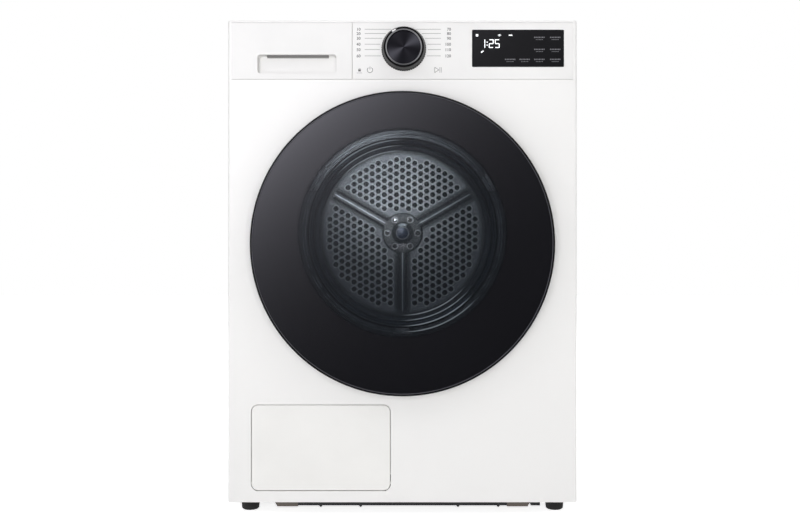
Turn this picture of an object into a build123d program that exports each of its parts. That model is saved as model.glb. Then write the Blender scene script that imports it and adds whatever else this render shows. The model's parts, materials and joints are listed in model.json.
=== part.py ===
from build123d import *
import os
from math import acos, asin, atan2, cos, hypot, radians, sin, sqrt

# A front-loading heat-pump clothes dryer, taken apart into the pieces it is assembled from.
# Millimetres, +Z up, +X to the right and -Y towards the user. The origin is on the floor,
# under the middle of the overall box. "Depth" is measured back from the front panel's face.

# Overall cabinet
WIDTH = 600.0
HEIGHT = 850.0
CABINET_DEPTH = 625.0
DOOR_PROUD = 45.0
REAR_BULGE = 20.0
SHEET = 1.0
PANEL_BOTTOM = 22.0
TOP_LIP = 3.0
SEAM = 0.5
TOUCH = 0.3
EDGE_FLANGE = 6.0
EDGE_RADIUS = 4.0
REAR_FLANGE = 22.0
PRESSING_DEPTH = 3.0
PRESSING_MARGIN = 70.0
PRESSING_TOP_MARGIN = 112.0
PRESSING_RADIUS = 30.0
PRESSING_TAPER = 45.0
TOP_CORNER = 5.0
TOP_RIM_DROP = 12.0
TOP_RIM_WALL = 2.0
TOP_RIM_SETBACK = 36.0
RETURN_DEPTH = 18.0

# Drum and the tunnel in front of it
DRUM_SIDE_GAP = 14.0
DRUM_DROP = 365.0
DRUM_START = 70.0
DRUM_LENGTH = 460.0
DRUM_SHEET = 1.0
DRUM_LIP = 25.0
DRUM_LIP_ROLL = 12.0
BEAD_HEIGHT = 1.5
BEAD_WIDTH = 5.0
BEAD_INSET = 105.0
OPENING_R = 206.0
OPENING_COLLAR = 8.0
SEAL_WIDTH = 3.0
SEAL_LIP = 3.6
SEAL_LIP_OVERLAP = 2.0
TUNNEL_WALL = 3.0
BULKHEAD_DEPTH = 57.0
BULKHEAD_PLATE = 3.0
BULKHEAD_BOTTOM = 195.0
FELT_RUNNING_GAP = 0.5
FELT_THICK = 4.5
FELT_SEAT_WALL = 3.0
FELT_SEAT_LENGTH = 24.0

# Dished rear wall of the drum, its perforated disc and the star-shaped hub in front of it
BACK_SEAT = 8.0
BACK_DISH_R = 205.0
BACK_DISH_DEPTH = 22.0
BACK_FLAT_R = 186.0
PERFORATED_R = 174.0
HOLE_R = 6.4
HOLE_PITCH = 15.7
SPOKE_COUNT = 3
SPOKE_START_ANGLE = 30.0
SPOKE_WIDTH = 22.0
SPOKE_CREST = 11.0
SPOKE_HEIGHT = 7.0
SPOKE_LAND = 6.0
HUB_R = 46.0
HUB_THICK = 7.0
HUB_CONE_R = 24.0
HUB_CAP_R = 12.5
HUB_NOSE = 14.0
HUB_SCREW_R = 34.0
HUB_SCREW_COUNT = 6
HUB_SCREW_RECESS_R = 6.0
HUB_SCREW_RECESS_DEPTH = 2.5
SPIDER_FLANGE_R = 42.0
SPIDER_FLANGE_THICK = 8.0
SPIDER_ARM_WIDTH = 26.0
SPIDER_ARM_THICK = 12.0
SPIDER_ARM_R = 165.0
SHAFT_R = 10.0
SHAFT_LENGTH = 86.0
LIFTER_HEIGHT = 78.0
LIFTER_BASE = 92.0
LIFTER_CREST = 30.0
LIFTER_CREST_FILLET = 12.0
LIFTER_INSET = 34.0
LIFTER_WALL = 2.5

# Bearing, rollers, belt drive
RUNNING_FIT = 0.05
BEARING_R = 26.0
BEARING_WIDTH = 16.0
BEARING_BOSS_WALL = 6.0
BEARING_END_GAP = 20.0
BULGE_R = 217.0
BULGE_SLOPE = 17.0
ROLLER_R = 34.0
ROLLER_WIDTH = 24.0
ROLLER_ANGLE = 40.0
ROLLER_AXLE_R = 5.0
ROLLER_SHOULDER_R = 9.0
ROLLER_OFFSET = 3.0
BELT_DEPTH = 293.0
BELT_WIDTH = 14.0
BELT_THICK = 2.5
BELT_GAP = 0.3
PULLEY_R = 9.0
PULLEY_FLANGE = 2.0
MOTOR_X = 185.0
MOTOR_Z = 112.0
MOTOR_R = 50.0
MOTOR_START = 400.0
MOTOR_LENGTH = 100.0
MOTOR_SHAFT_R = 6.0
MOTOR_FIN_COUNT = 16
MOTOR_FIN_DEPTH = 3.0
MOTOR_FOOT_HALF = 35.0
MOTOR_FOOT_DROP = 40.0
IDLER_R = 20.0
IDLER_AXLE_R = 5.0
IDLER_BRACKET_THICK = 3.0
IDLER_BRACKET_WIDTH = 30.0
IDLER_RUN_SHARE = 0.5

# Air path
DUCT_WALL = 3.0
REAR_DUCT_R = 221.0
REAR_FELT_WIDTH = 11.0
SPOUT_HALF = 70.0
SPOUT_BOTTOM = 150.0
SPOUT_SETBACK = 15.0
BLOWER_R = 80.0
BLOWER_START = 540.0
BLOWER_LENGTH = 62.0
BLOWER_INLET_R = 45.0
BLOWER_OUTLET_HEIGHT = 40.0
BLADE_COUNT = 24
BLADE_THICK = 1.6
BLADE_ANGLE = 30.0
WHEEL_R = 68.0
WHEEL_INNER_R = 50.0
WHEEL_DISC = 3.0
WHEEL_HUB_R = 14.0
WHEEL_SIDE_GAP = 8.0
FRONT_DUCT_HALF = 95.0
FRONT_DUCT_START = 12.0
FRONT_DUCT_LENGTH = 34.0
FRONT_DUCT_BEND = 230.0
FILTER_HALF = 90.0
FILTER_CHORD = 177.0
FILTER_TOP = 3.0
FILTER_GAP = 0.5
FILTER_FRAME = 2.0
FILTER_BODY_INSET = 4.0
FILTER_WINDOW_COUNT = 3
FILTER_RIB = 5.0
LAMP_HALF = 18.0
LAMP_LENGTH = 14.0
LAMP_DEPTH = 34.0
LAMP_FLANGE = 4.0
SENSOR_ARC = 50.0
SENSOR_WIDTH = 5.0
SENSOR_THICK = 1.5
SENSOR_DEPTHS = (43.0, 50.0)

# Door
DOOR_R = 256.5
DOOR_BELOW_DRUM = 18.0
GLASS_THICK = 4.0
GLASS_CROWN = 2.5
GLASS_EDGE_GAP = 0.3
RIM_LIP = 4.2
RIM_FRONT_STEP = 2.0
RIM_BEVEL = 1.2
RIM_STRAIGHT = 6.0
RIM_TAPER = 15.5
RIM_WALL = 4.5
RIM_LEDGE = 6.0
RIM_LEDGE_THICK = 3.0
DOOR_BACK_GAP = 4.0
DOOR_BACK_PLATE = 2.5
WINDOW_R = 176.0
BOWL_SEAT = 5.0
BOWL_SEAT_DEPTH = 8.0
BOWL_GLASS = 4.0
BOWL_TAPER = 19.0
BOWL_STEP = 6.0
BOWL_STEP_DEPTH = 14.0
BOWL_DEPTH = 74.0
BOWL_DOME = 8.0
BOWL_CORNER = 24.0
FUNNEL_WALL = 3.0
HINGE_X = 236.0
HINGE_DEPTH = -27.0
HINGE_PIN_R = 4.0
KNUCKLE_R = 7.0
EAR_OFFSET = 51.0
EAR_THICK = 12.0
EAR_SLOT_GAP = 1.5
HINGE_PLATE = 3.0
HINGE_PLATE_INNER = 210.5
HINGE_PLATE_WIDTH = 15.5
HINGE_PLATE_HALF = 70.0
EAR_ROOT = 10.0
ARM_ROOT_INNER = 196.0
ARM_ROOT_WIDTH = 16.0
STRIKER_X = -222.0
STRIKER_WIDTH = 8.0
STRIKER_HEIGHT = 24.0
STRIKER_REACH = 22.0
STRIKER_HOOK = 3.0
STRIKER_FOOT = 3.0
LATCH_HALF_HEIGHT = 32.0
LATCH_SLOT_LEFT = 13.0
LATCH_SLOT_RIGHT = 9.0
LATCH_WALL = 3.0
LATCH_DEPTH = 36.0

# Control panel and water drawer
FASCIA_HEIGHT = 101.0
FASCIA_WALL = 3.0
FASCIA_RIM = 2.5
CROSSBAR_DEPTH = 32.0
CROSSBAR_SHEET = 2.0
DRAWER_SEAM_X = -86.5
KNOB_X = 2.2
KNOB_ABOVE_SEAM = 52.3
KNOB_R = 38.4
KNOB_FACE_R = 34.0
KNOB_HEIGHT = 22.0
KNOB_GAP = 1.0
KNOB_RING_R = 31.0
KNOB_RING_WIDTH = 2.0
KNOB_RING_PROUD = 1.0
KNOB_CAP_DISH = 1.5
KNOB_FLUTES = 60
KNOB_FLUTE_R = 0.9
KNOB_SHAFT_R = 3.0
KNOB_SHAFT_LENGTH = 14.0
KNOB_HOLE_R = 8.0
DISPLAY_X = 198.6
DISPLAY_ABOVE_SEAM = 53.3
DISPLAY_WIDTH = 158.0
DISPLAY_HEIGHT = 64.0
DISPLAY_CORNER = 2.0
DISPLAY_THICK = 3.0
DISPLAY_LEDGE = 4.0
BOARD_DEPTH = 20.0
BOARD_THICK = 2.0
BOARD_MARGIN = 14.0
BOARD_POST_R = 4.5
ENCODER_HALF = 9.0
GRIP_X = -181.5
GRIP_ABOVE_SEAM = 26.5
GRIP_WIDTH = 136.0
GRIP_HEIGHT = 32.5
GRIP_CORNER = 5.0
GRIP_DEPTH = 21.0
GRIP_WALL = 2.5
GRIP_UNDERCUT = 12.0
GRIP_UNDERCUT_WIDTH = 108.0
GRIP_FLOOR_R = 3.0
GRIP_LIP = 4.0
TANK_SIDE_GAP = 1.5
TANK_RIGHT_SETBACK = 5.5
TANK_WALL = 2.5
TANK_HEIGHT = 68.0
TANK_LENGTH = 412.0
TANK_CORNER = 4.0
TANK_FILLER_LENGTH = 60.0
TANK_FILLER_WIDTH = 90.0
TRAY_WALL = 2.5
TRAY_ABOVE_SEAM = 13.0
TRAY_SIDE = 26.0
TRAY_BACK = 66.0

# Service flap at the lower left
FLAP_X = -140.35
FLAP_Z = 115.5
FLAP_WIDTH = 238.5
FLAP_HEIGHT = 146.7
FLAP_CORNER = 11.5
FLAP_THICK = 10.0
FLAP_WALL = 2.5
FLAP_EDGE_R = 1.5
FLAP_AXIS_RISE = 12.0
FLAP_BAR = 16.0
FLAP_GAP = 1.0
FLAP_PIN_R = 2.5
FLAP_PIN_REACH = 3.0
FLAP_LEDGE = 8.0
FLAP_RIB_COUNT = 3

# Base tray, feet and heat pump
BASE_THICK = 3.0
BASE_WALL_HEIGHT = 46.0
BASE_SETBACK = 18.5
KEEL_LEFT = -180.0
KEEL_RIGHT = 236.7
KEEL_BOTTOM = 16.0
KEEL_LENGTH = 60.0
KEEL_SETBACK = 2.0
NUB_PLACES = (-140.6, -72.0, 95.5, 164.8)
NUB_R = 2.5
SKID_BOTTOM = 13.8
SKID_INNER = 180.0
SKID_WIDTH = 40.5
SKID_LENGTH = 70.0
SKID_SETBACK = 4.0
SKID_SLOPE = 58.0
SKID_SQUARE = 90.0
FOOT_INSET_X = 32.5
FOOT_INSET_DEPTH = 46.0
FOOT_R = 16.5
FOOT_HEIGHT = 17.0
FOOT_TAPER = 1.5
FOOT_SOLE = 2.0
FOOT_STEM_R = 5.0
FOOT_STEM_LENGTH = 36.0
FOOT_BOSS_R = 20.0
FOOT_BOSS_HEIGHT = 45.0
PLENUM_LEFT = -262.0
PLENUM_RIGHT = -20.0
PLENUM_START = 28.0
PLENUM_END = 285.0
PLENUM_UNDER_DRUM = 10.0
PLENUM_MOUTH = 25.0
COVER_MARGIN = 14.0
COVER_THICK = 6.0
COVER_LEVER_R = 11.0
COIL_GAP = 7.0
EVAPORATOR_START = 66.0
EVAPORATOR_LENGTH = 84.0
CONDENSER_START = 165.0
CONDENSER_LENGTH = 108.0
FIN_COUNT = 20
FIN_SLOT = 3.0
COIL_END_PLATE = 10.0
PIPE_R = 5.0
PIPE_BEND = 16.0
COMPRESSOR_X = 190.0
COMPRESSOR_DEPTH = 165.0
COMPRESSOR_R = 58.0
COMPRESSOR_UNDER_DRUM = 18.0
COMPRESSOR_PAD = 14.0
COMPRESSOR_PAD_R = 11.0
COMPRESSOR_PAD_COUNT = 3
COMPRESSOR_PAD_PCD = 66.0
COMPRESSOR_DOME = 22.0
PUMP_X = -200.0
PUMP_DEPTH = 480.0
PUMP_R = 32.0
PUMP_HEIGHT = 56.0
PUMP_STUB_HEIGHT = 14.0
HOSE_R = 7.0
HOSE_BORE_R = 5.0
HOSE_X = -272.0
HOSE_DEPTH = 590.0
HOSE_RISE = 45.0
HOSE_BEND = 24.0
HOSE_ABOVE_TRAY = 38.0
SPIGOT_X = -235.0
SPIGOT_Z = 110.0
SPIGOT_R = 8.0
SPIGOT_BORE_R = 5.5
SPIGOT_FLANGE_R = 16.0
SPIGOT_FLANGE = 3.0
SPIGOT_INSIDE = 18.0
GLAND_X = 245.0
GLAND_Z = 250.0
GLAND_R = 9.0
GLAND_BORE_R = 4.5
GLAND_FLANGE_R = 14.0
GLAND_FLANGE = 4.0
GLAND_PROUD = 12.0
LOUVRE_X = 185.0
LOUVRE_Z = 150.0
LOUVRE_WIDTH = 62.0
LOUVRE_HEIGHT = 7.0
LOUVRE_PITCH_X = 78.0
LOUVRE_PITCH_Z = 17.0
LOUVRE_COLUMNS = 2
LOUVRE_ROWS = 6

# Places worked out from the sizes above
FRONT_Y = DOOR_PROUD - (CABINET_DEPTH + DOOR_PROUD + REAR_BULGE) / 2
HALF = WIDTH / 2
INNER_HALF = HALF - SHEET
FRONT_HALF = HALF - EDGE_FLANGE - SEAM / 2
REAR_FACE = CABINET_DEPTH - SHEET
REAR_END = CABINET_DEPTH + REAR_BULGE
SIDE_TOP = HEIGHT - TOP_LIP
FASCIA_SEAM_Z = HEIGHT - FASCIA_HEIGHT
FRONT_TOP = FASCIA_SEAM_Z - SEAM / 2
FASCIA_BOTTOM = FASCIA_SEAM_Z + SEAM / 2
FASCIA_TOP = SIDE_TOP - SEAM / 2
DRUM_R = HALF - SHEET - DRUM_SIDE_GAP
DRUM_Z = HEIGHT - DRUM_DROP
DRUM_END = DRUM_START + DRUM_LENGTH
DRUM_CENTRE = (0, DRUM_Z)
MOUTH_R = DRUM_R - DRUM_LIP
TUNNEL_OUTER_R = OPENING_R - SEAL_WIDTH
TUNNEL_R = TUNNEL_OUTER_R - TUNNEL_WALL
BULKHEAD_BACK = BULKHEAD_DEPTH + BULKHEAD_PLATE
FELT_R = MOUTH_R - FELT_RUNNING_GAP
FELT_SEAT_R = FELT_R - FELT_THICK
BACK_DISC_DEPTH = DRUM_END + BACK_DISH_DEPTH
SPIDER_START = BACK_DISC_DEPTH + DRUM_SHEET
BOSS_END = REAR_END - SHEET
BEARING_END = BOSS_END - BEARING_END_GAP
BEARING_START = BEARING_END - BEARING_WIDTH
ROLLER_ORBIT = DRUM_R + ROLLER_R + TOUCH
ROLLER_X = ROLLER_ORBIT * sin(radians(ROLLER_ANGLE))
ROLLER_Z = DRUM_Z - ROLLER_ORBIT * cos(radians(ROLLER_ANGLE))
ROLLER_START = DRUM_START + ROLLER_OFFSET
BASE_FLOOR = PANEL_BOTTOM + SHEET + BASE_THICK
PLENUM_TOP = DRUM_Z - DRUM_R - PLENUM_UNDER_DRUM
DOOR_Z = DRUM_Z - DOOR_BELOW_DRUM
DOOR_CENTRE = (0, DOOR_Z)
RIM_FRONT = RIM_FRONT_STEP - DOOR_PROUD
GLASS_EDGE = GLASS_CROWN - DOOR_PROUD
GLASS_BACK = GLASS_EDGE + GLASS_THICK
GLASS_R = DOOR_R - RIM_LIP - GLASS_EDGE_GAP
DOOR_BACK_FRONT = -DOOR_BACK_GAP - DOOR_BACK_PLATE
RIM_BACK_R = DOOR_R - RIM_TAPER
DOOR_BACK_R = RIM_BACK_R - RIM_WALL - TOUCH
KNOB_Z = FASCIA_SEAM_Z + KNOB_ABOVE_SEAM
DISPLAY_Z = FASCIA_SEAM_Z + DISPLAY_ABOVE_SEAM
GRIP_Z = FASCIA_SEAM_Z + GRIP_ABOVE_SEAM
TRAY_Z = FASCIA_SEAM_Z + TRAY_ABOVE_SEAM
TANK_BOTTOM = TRAY_Z + TRAY_WALL + TOUCH
TANK_TOP = TANK_BOTTOM + TANK_HEIGHT
TANK_LEFT = -HALF + EDGE_FLANGE + TANK_SIDE_GAP
TANK_RIGHT = DRAWER_SEAM_X - TANK_RIGHT_SETBACK
TANK_START = GRIP_DEPTH + GRIP_WALL
TANK_END = TANK_START + TANK_LENGTH
TRAY_START = CROSSBAR_DEPTH + CROSSBAR_SHEET
TRAY_END = TANK_END + TANK_SIDE_GAP + TRAY_WALL
TRAY_RIGHT = TANK_RIGHT + TANK_SIDE_GAP + TRAY_WALL
FOOT_X = HALF - FOOT_INSET_X
FOOT_DEPTHS = {"front": FOOT_INSET_DEPTH, "rear": CABINET_DEPTH - FOOT_INSET_DEPTH}
FLAP_BOTTOM = FLAP_Z - FLAP_HEIGHT / 2
FLAP_AXIS_Z = FLAP_BOTTOM + FLAP_AXIS_RISE
FLAP_AXIS_DEPTH = FLAP_THICK / 2
RECESS_DEPTH = FLAP_THICK + FLAP_GAP + SHEET


def at_depth(depth):
    """The Y place that lies this far behind the front panel's face."""
    return FRONT_Y + depth


def face_plane(depth):
    """A plane parallel to the front at a depth: local X points right and local Y points up."""
    return Plane(origin=(0, at_depth(depth), 0), x_dir=(1, 0, 0), z_dir=(0, -1, 0))


def middle(span):
    """The middle of a pair of limits."""
    return (span[0] + span[1]) / 2


def block(x_span, depth_span, z_span, mode=Mode.ADD):
    """A box between two limits along each axis, in the part that is being built."""
    with Locations((middle(x_span), at_depth(middle(depth_span)), middle(z_span))):
        Box(x_span[1] - x_span[0], depth_span[1] - depth_span[0], z_span[1] - z_span[0], mode=mode)


def turned(centre, *points, mode=Mode.ADD):
    """A solid turned about the fore-and-aft line through centre (x, z), from (radius, depth) points."""
    origin = (centre[0], FRONT_Y, centre[1])
    with BuildSketch(Plane(origin=origin)) as section:
        with BuildLine():
            Polyline(*points, close=True)
        make_face()
    revolve(section.sketch, axis=Axis(origin, (0, 1, 0)), mode=mode)


def ring(centre, inner_r, outer_r, depth_span, mode=Mode.ADD):
    """A plain ring, or a disc where inner_r is zero, between two depths."""
    start, end = depth_span
    turned(centre, (inner_r, start), (outer_r, start), (outer_r, end), (inner_r, end), mode=mode)


def column(x, depth, radius, z_span, mode=Mode.ADD):
    """An upright cylinder between two heights."""
    with Locations((x, at_depth(depth), middle(z_span))):
        Cylinder(radius, z_span[1] - z_span[0], mode=mode)


def drum_underside(x, clearance):
    """The height that stays clear of the drum, belt included, above a point x off its middle."""
    return DRUM_Z - sqrt((DRUM_R + BELT_GAP + BELT_THICK) ** 2 - x**2) - clearance


# Cabinet panels

def side_panel(side):
    """One side: a sheet with a rounded front edge, a rear flange and a pressed stiffening field."""
    sheet_depth = REAR_FACE
    centre = (0, at_depth(sheet_depth / 2))
    with BuildPart() as panel:
        with BuildSketch(Plane.XY.offset(PANEL_BOTTOM)) as bent_sheet:
            with Locations(centre):
                RectangleRounded(WIDTH, sheet_depth, EDGE_RADIUS)
                RectangleRounded(
                    WIDTH - 2 * SHEET, sheet_depth - 2 * SHEET, EDGE_RADIUS - SHEET, mode=Mode.SUBTRACT
                )
            with Locations((0, at_depth(0))):
                Rectangle(2 * (HALF - EDGE_FLANGE), 2 * REAR_FLANGE, mode=Mode.SUBTRACT)
            with Locations((0, at_depth(sheet_depth))):
                Rectangle(2 * (HALF - REAR_FLANGE), 2 * REAR_FLANGE, mode=Mode.SUBTRACT)
            with Locations((-side * HALF, centre[1])):
                Rectangle(WIDTH, 2 * sheet_depth, mode=Mode.SUBTRACT)
        extrude(bent_sheet.sketch, amount=SIDE_TOP - PANEL_BOTTOM)
        field_z = (PANEL_BOTTOM + PRESSING_MARGIN, SIDE_TOP - PRESSING_TOP_MARGIN)
        field_size = (sheet_depth - 2 * PRESSING_MARGIN, field_z[1] - field_z[0])
        field_centre = (side * centre[1], middle(field_z))
        for face_x, mode in ((INNER_HALF, Mode.ADD), (HALF, Mode.SUBTRACT)):
            outward = Plane(origin=(side * face_x, 0, 0), x_dir=(0, side, 0), z_dir=(side, 0, 0))
            with BuildSketch(outward) as field:
                with Locations(field_centre):
                    RectangleRounded(*field_size, PRESSING_RADIUS)
            extrude(field.sketch, amount=-PRESSING_DEPTH, taper=PRESSING_TAPER, mode=mode)
    return panel.part


with BuildPart() as rear_panel:
    with BuildSketch(face_plane(REAR_FACE)) as outline:
        with Locations((0, (PANEL_BOTTOM + SIDE_TOP) / 2)):
            Rectangle(2 * INNER_HALF, SIDE_TOP - PANEL_BOTTOM)
        with Locations(DRUM_CENTRE):
            Circle(BULGE_R - SHEET, mode=Mode.SUBTRACT)
        with Locations((LOUVRE_X, LOUVRE_Z)):
            with GridLocations(LOUVRE_PITCH_X, LOUVRE_PITCH_Z, LOUVRE_COLUMNS, LOUVRE_ROWS):
                SlotOverall(LOUVRE_WIDTH, LOUVRE_HEIGHT, mode=Mode.SUBTRACT)
        with Locations((SPIGOT_X, SPIGOT_Z)):
            Circle(SPIGOT_R + TOUCH, mode=Mode.SUBTRACT)
        with Locations((GLAND_X, GLAND_Z)):
            Circle(GLAND_R + TOUCH, mode=Mode.SUBTRACT)
    extrude(outline.sketch, amount=-SHEET)
    turned(
        DRUM_CENTRE,
        (0, REAR_END),
        (BULGE_R - BULGE_SLOPE, REAR_END),
        (BULGE_R, CABINET_DEPTH),
        (BULGE_R, REAR_FACE),
        (BULGE_R - SHEET, REAR_FACE),
        (BULGE_R - BULGE_SLOPE - SHEET, REAR_END - SHEET),
        (0, REAR_END - SHEET),
    )
    ring(DRUM_CENTRE, BEARING_R, BEARING_R + BEARING_BOSS_WALL, (BEARING_START, BOSS_END))
    ring(DRUM_CENTRE, BEARING_R - BEARING_BOSS_WALL, BEARING_R, (BEARING_END, BOSS_END))

with BuildPart() as top_panel:
    with BuildSketch(Plane.XY.offset(SIDE_TOP)) as worktop:
        with Locations((0, at_depth(CABINET_DEPTH / 2))):
            RectangleRounded(WIDTH, CABINET_DEPTH, TOP_CORNER)
    extrude(worktop.sketch, amount=TOP_LIP)
    fillet(top_panel.faces().sort_by(Axis.Z)[-1].edges(), TOP_LIP / 2)
    rim_half = INNER_HALF - TOUCH
    rim_end = REAR_FACE - SHEET - TOUCH
    with BuildSketch(Plane.XY.offset(SIDE_TOP)) as rim:
        with Locations((0, at_depth((TOP_RIM_SETBACK + rim_end) / 2))):
            RectangleRounded(2 * rim_half, rim_end - TOP_RIM_SETBACK, EDGE_RADIUS + TOP_RIM_WALL)
            RectangleRounded(
                2 * (rim_half - TOP_RIM_WALL),
                rim_end - TOP_RIM_SETBACK - 2 * TOP_RIM_WALL,
                EDGE_RADIUS,
                mode=Mode.SUBTRACT,
            )
    extrude(rim.sketch, amount=-TOP_RIM_DROP)
    with BuildSketch(Plane.XY.offset(SIDE_TOP)) as underside:
        with Locations((0, at_depth((TOP_RIM_SETBACK + rim_end) / 2))):
            RectangleRounded(
                2 * (rim_half - TOP_RIM_WALL), rim_end - TOP_RIM_SETBACK - 2 * TOP_RIM_WALL, EDGE_RADIUS
            )
    extrude(underside.sketch, amount=TOP_LIP - SHEET, mode=Mode.SUBTRACT)

with BuildPart() as front_panel:
    front_size = (2 * FRONT_HALF, FRONT_TOP - PANEL_BOTTOM)
    front_centre = (0, (FRONT_TOP + PANEL_BOTTOM) / 2)
    with BuildSketch(face_plane(0)) as sheet:
        with Locations(front_centre):
            Rectangle(*front_size)
    extrude(sheet.sketch, amount=-SHEET)
    with BuildSketch(face_plane(0)) as returns:
        with Locations(front_centre):
            Rectangle(*front_size)
            Rectangle(front_size[0] - 2 * SHEET, front_size[1] - 2 * SHEET, mode=Mode.SUBTRACT)
    extrude(returns.sketch, amount=-RETURN_DEPTH)
    ring(DRUM_CENTRE, OPENING_R, OPENING_R + SHEET, (0, OPENING_COLLAR))
    ring(DRUM_CENTRE, 0, OPENING_R, (0, SHEET), mode=Mode.SUBTRACT)
    recess_size = (FLAP_WIDTH + 2 * FLAP_GAP, FLAP_HEIGHT + 2 * FLAP_GAP)
    recess_corner = FLAP_CORNER + FLAP_GAP
    with BuildSketch(face_plane(0)) as recess_wall:
        with Locations((FLAP_X, FLAP_Z)):
            RectangleRounded(
                recess_size[0] + 2 * SHEET, recess_size[1] + 2 * SHEET, recess_corner + SHEET
            )
    extrude(recess_wall.sketch, amount=-RECESS_DEPTH)
    with BuildSketch(face_plane(0)) as recess_space:
        with Locations((FLAP_X, FLAP_Z)):
            RectangleRounded(*recess_size, recess_corner)
    extrude(recess_space.sketch, amount=-(RECESS_DEPTH - SHEET), mode=Mode.SUBTRACT)
    with BuildSketch(face_plane(0)) as recess_window:
        with Locations((FLAP_X, FLAP_Z - FLAP_LEDGE / 2)):
            Rectangle(recess_size[0] - 2 * FLAP_LEDGE, recess_size[1] - FLAP_LEDGE)
    extrude(recess_window.sketch, amount=-RECESS_DEPTH, mode=Mode.SUBTRACT)
    block(
        (FLAP_X - recess_size[0] / 2, FLAP_X + recess_size[0] / 2),
        (RECESS_DEPTH - SHEET, RECESS_DEPTH),
        (FLAP_BOTTOM - FLAP_GAP, FLAP_AXIS_Z + FLAP_AXIS_RISE + FLAP_GAP),
        mode=Mode.SUBTRACT,
    )
    with Locations(Location((FLAP_X, at_depth(FLAP_AXIS_DEPTH), FLAP_AXIS_Z), (0, 90, 0))):
        Cylinder(FLAP_PIN_R + RUNNING_FIT, FLAP_WIDTH + 2 * (FLAP_PIN_REACH + FLAP_GAP), mode=Mode.SUBTRACT)
    block(
        (STRIKER_X - LATCH_SLOT_LEFT, STRIKER_X + LATCH_SLOT_RIGHT),
        (-SHEET, 2 * SHEET),
        (DOOR_Z - STRIKER_HEIGHT / 2 - LATCH_WALL, DOOR_Z + STRIKER_HEIGHT / 2 + LATCH_WALL),
        mode=Mode.SUBTRACT,
    )


# Base tray, skids and feet

with BuildPart() as base_tray:
    base_half = INNER_HALF - TOUCH
    base_depths = (BASE_SETBACK, REAR_FACE - SHEET - TOUCH)
    floor_bottom = BASE_FLOOR - BASE_THICK
    base_size = (2 * base_half, base_depths[1] - base_depths[0])
    with BuildSketch(Plane.XY.offset(floor_bottom)) as tray_outline:
        with Locations((0, at_depth(middle(base_depths)))):
            RectangleRounded(*base_size, EDGE_RADIUS + BASE_THICK)
    extrude(tray_outline.sketch, amount=BASE_WALL_HEIGHT)
    with BuildSketch(Plane.XY.offset(BASE_FLOOR)) as tray_space:
        with Locations((0, at_depth(middle(base_depths)))):
            RectangleRounded(base_size[0] - 2 * BASE_THICK, base_size[1] - 2 * BASE_THICK, EDGE_RADIUS)
    extrude(tray_space.sketch, amount=BASE_WALL_HEIGHT, mode=Mode.SUBTRACT)
    block((KEEL_LEFT, KEEL_RIGHT), (KEEL_SETBACK, KEEL_LENGTH), (KEEL_BOTTOM, PANEL_BOTTOM - TOUCH))
    block((KEEL_LEFT, KEEL_RIGHT), (BASE_SETBACK, KEEL_LENGTH), (KEEL_BOTTOM, floor_bottom))
    for skid_side in (-1, 1):
        skid_x = sorted((skid_side * (SKID_INNER - TOUCH), skid_side * (SKID_INNER + SKID_WIDTH + TOUCH)))
        skid_depths = (0, SKID_SETBACK + SKID_LENGTH + TOUCH)
        block(skid_x, skid_depths, (SKID_BOTTOM, floor_bottom), mode=Mode.SUBTRACT)
    nub_y = at_depth((KEEL_SETBACK + KEEL_LENGTH) / 2)
    for nub_x in NUB_PLACES:
        with Locations(Location((nub_x, nub_y, KEEL_BOTTOM), (90, 0, 0))):
            Cylinder(NUB_R, KEEL_LENGTH - KEEL_SETBACK)
    for foot_side in (-1, 1):
        for foot_depth in FOOT_DEPTHS.values():
            column(foot_side * FOOT_X, foot_depth, FOOT_BOSS_R, (FOOT_HEIGHT, FOOT_HEIGHT + FOOT_BOSS_HEIGHT))
            column(
                foot_side * FOOT_X,
                foot_depth,
                FOOT_STEM_R + RUNNING_FIT,
                (FOOT_HEIGHT, FOOT_HEIGHT + FOOT_STEM_LENGTH + TOUCH),
                mode=Mode.SUBTRACT,
            )
    plenum_x = (PLENUM_LEFT, PLENUM_RIGHT)
    plenum_inner_x = (PLENUM_LEFT + DUCT_WALL, PLENUM_RIGHT - DUCT_WALL)
    block(plenum_x, (PLENUM_START, PLENUM_END), (floor_bottom, PLENUM_TOP))
    block(
        plenum_inner_x,
        (PLENUM_START + DUCT_WALL, PLENUM_END - DUCT_WALL),
        (BASE_FLOOR, PLENUM_TOP - DUCT_WALL),
        mode=Mode.SUBTRACT,
    )
    block(
        plenum_inner_x,
        (PLENUM_START + DUCT_WALL, PLENUM_START + PLENUM_MOUTH),
        (PLENUM_TOP - 2 * DUCT_WALL, PLENUM_TOP),
        mode=Mode.SUBTRACT,
    )
    cover_window_x = (PLENUM_LEFT + COVER_MARGIN, PLENUM_RIGHT - COVER_MARGIN)
    cover_window_z = (BASE_FLOOR + COVER_MARGIN, PLENUM_TOP - COVER_MARGIN)
    block(cover_window_x, (PLENUM_START, PLENUM_START + DUCT_WALL), cover_window_z, mode=Mode.SUBTRACT)
    block(cover_window_x, (PLENUM_END - DUCT_WALL, PLENUM_END), cover_window_z, mode=Mode.SUBTRACT)
    pipe_z = (BASE_FLOOR + PLENUM_TOP) / 2
    for pipe_depth in (EVAPORATOR_START + EVAPORATOR_LENGTH / 2, CONDENSER_START + CONDENSER_LENGTH / 2):
        with Locations(Location((PLENUM_RIGHT, at_depth(pipe_depth), pipe_z), (0, 90, 0))):
            Cylinder(PIPE_R + TOUCH, 4 * DUCT_WALL, mode=Mode.SUBTRACT)

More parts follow.
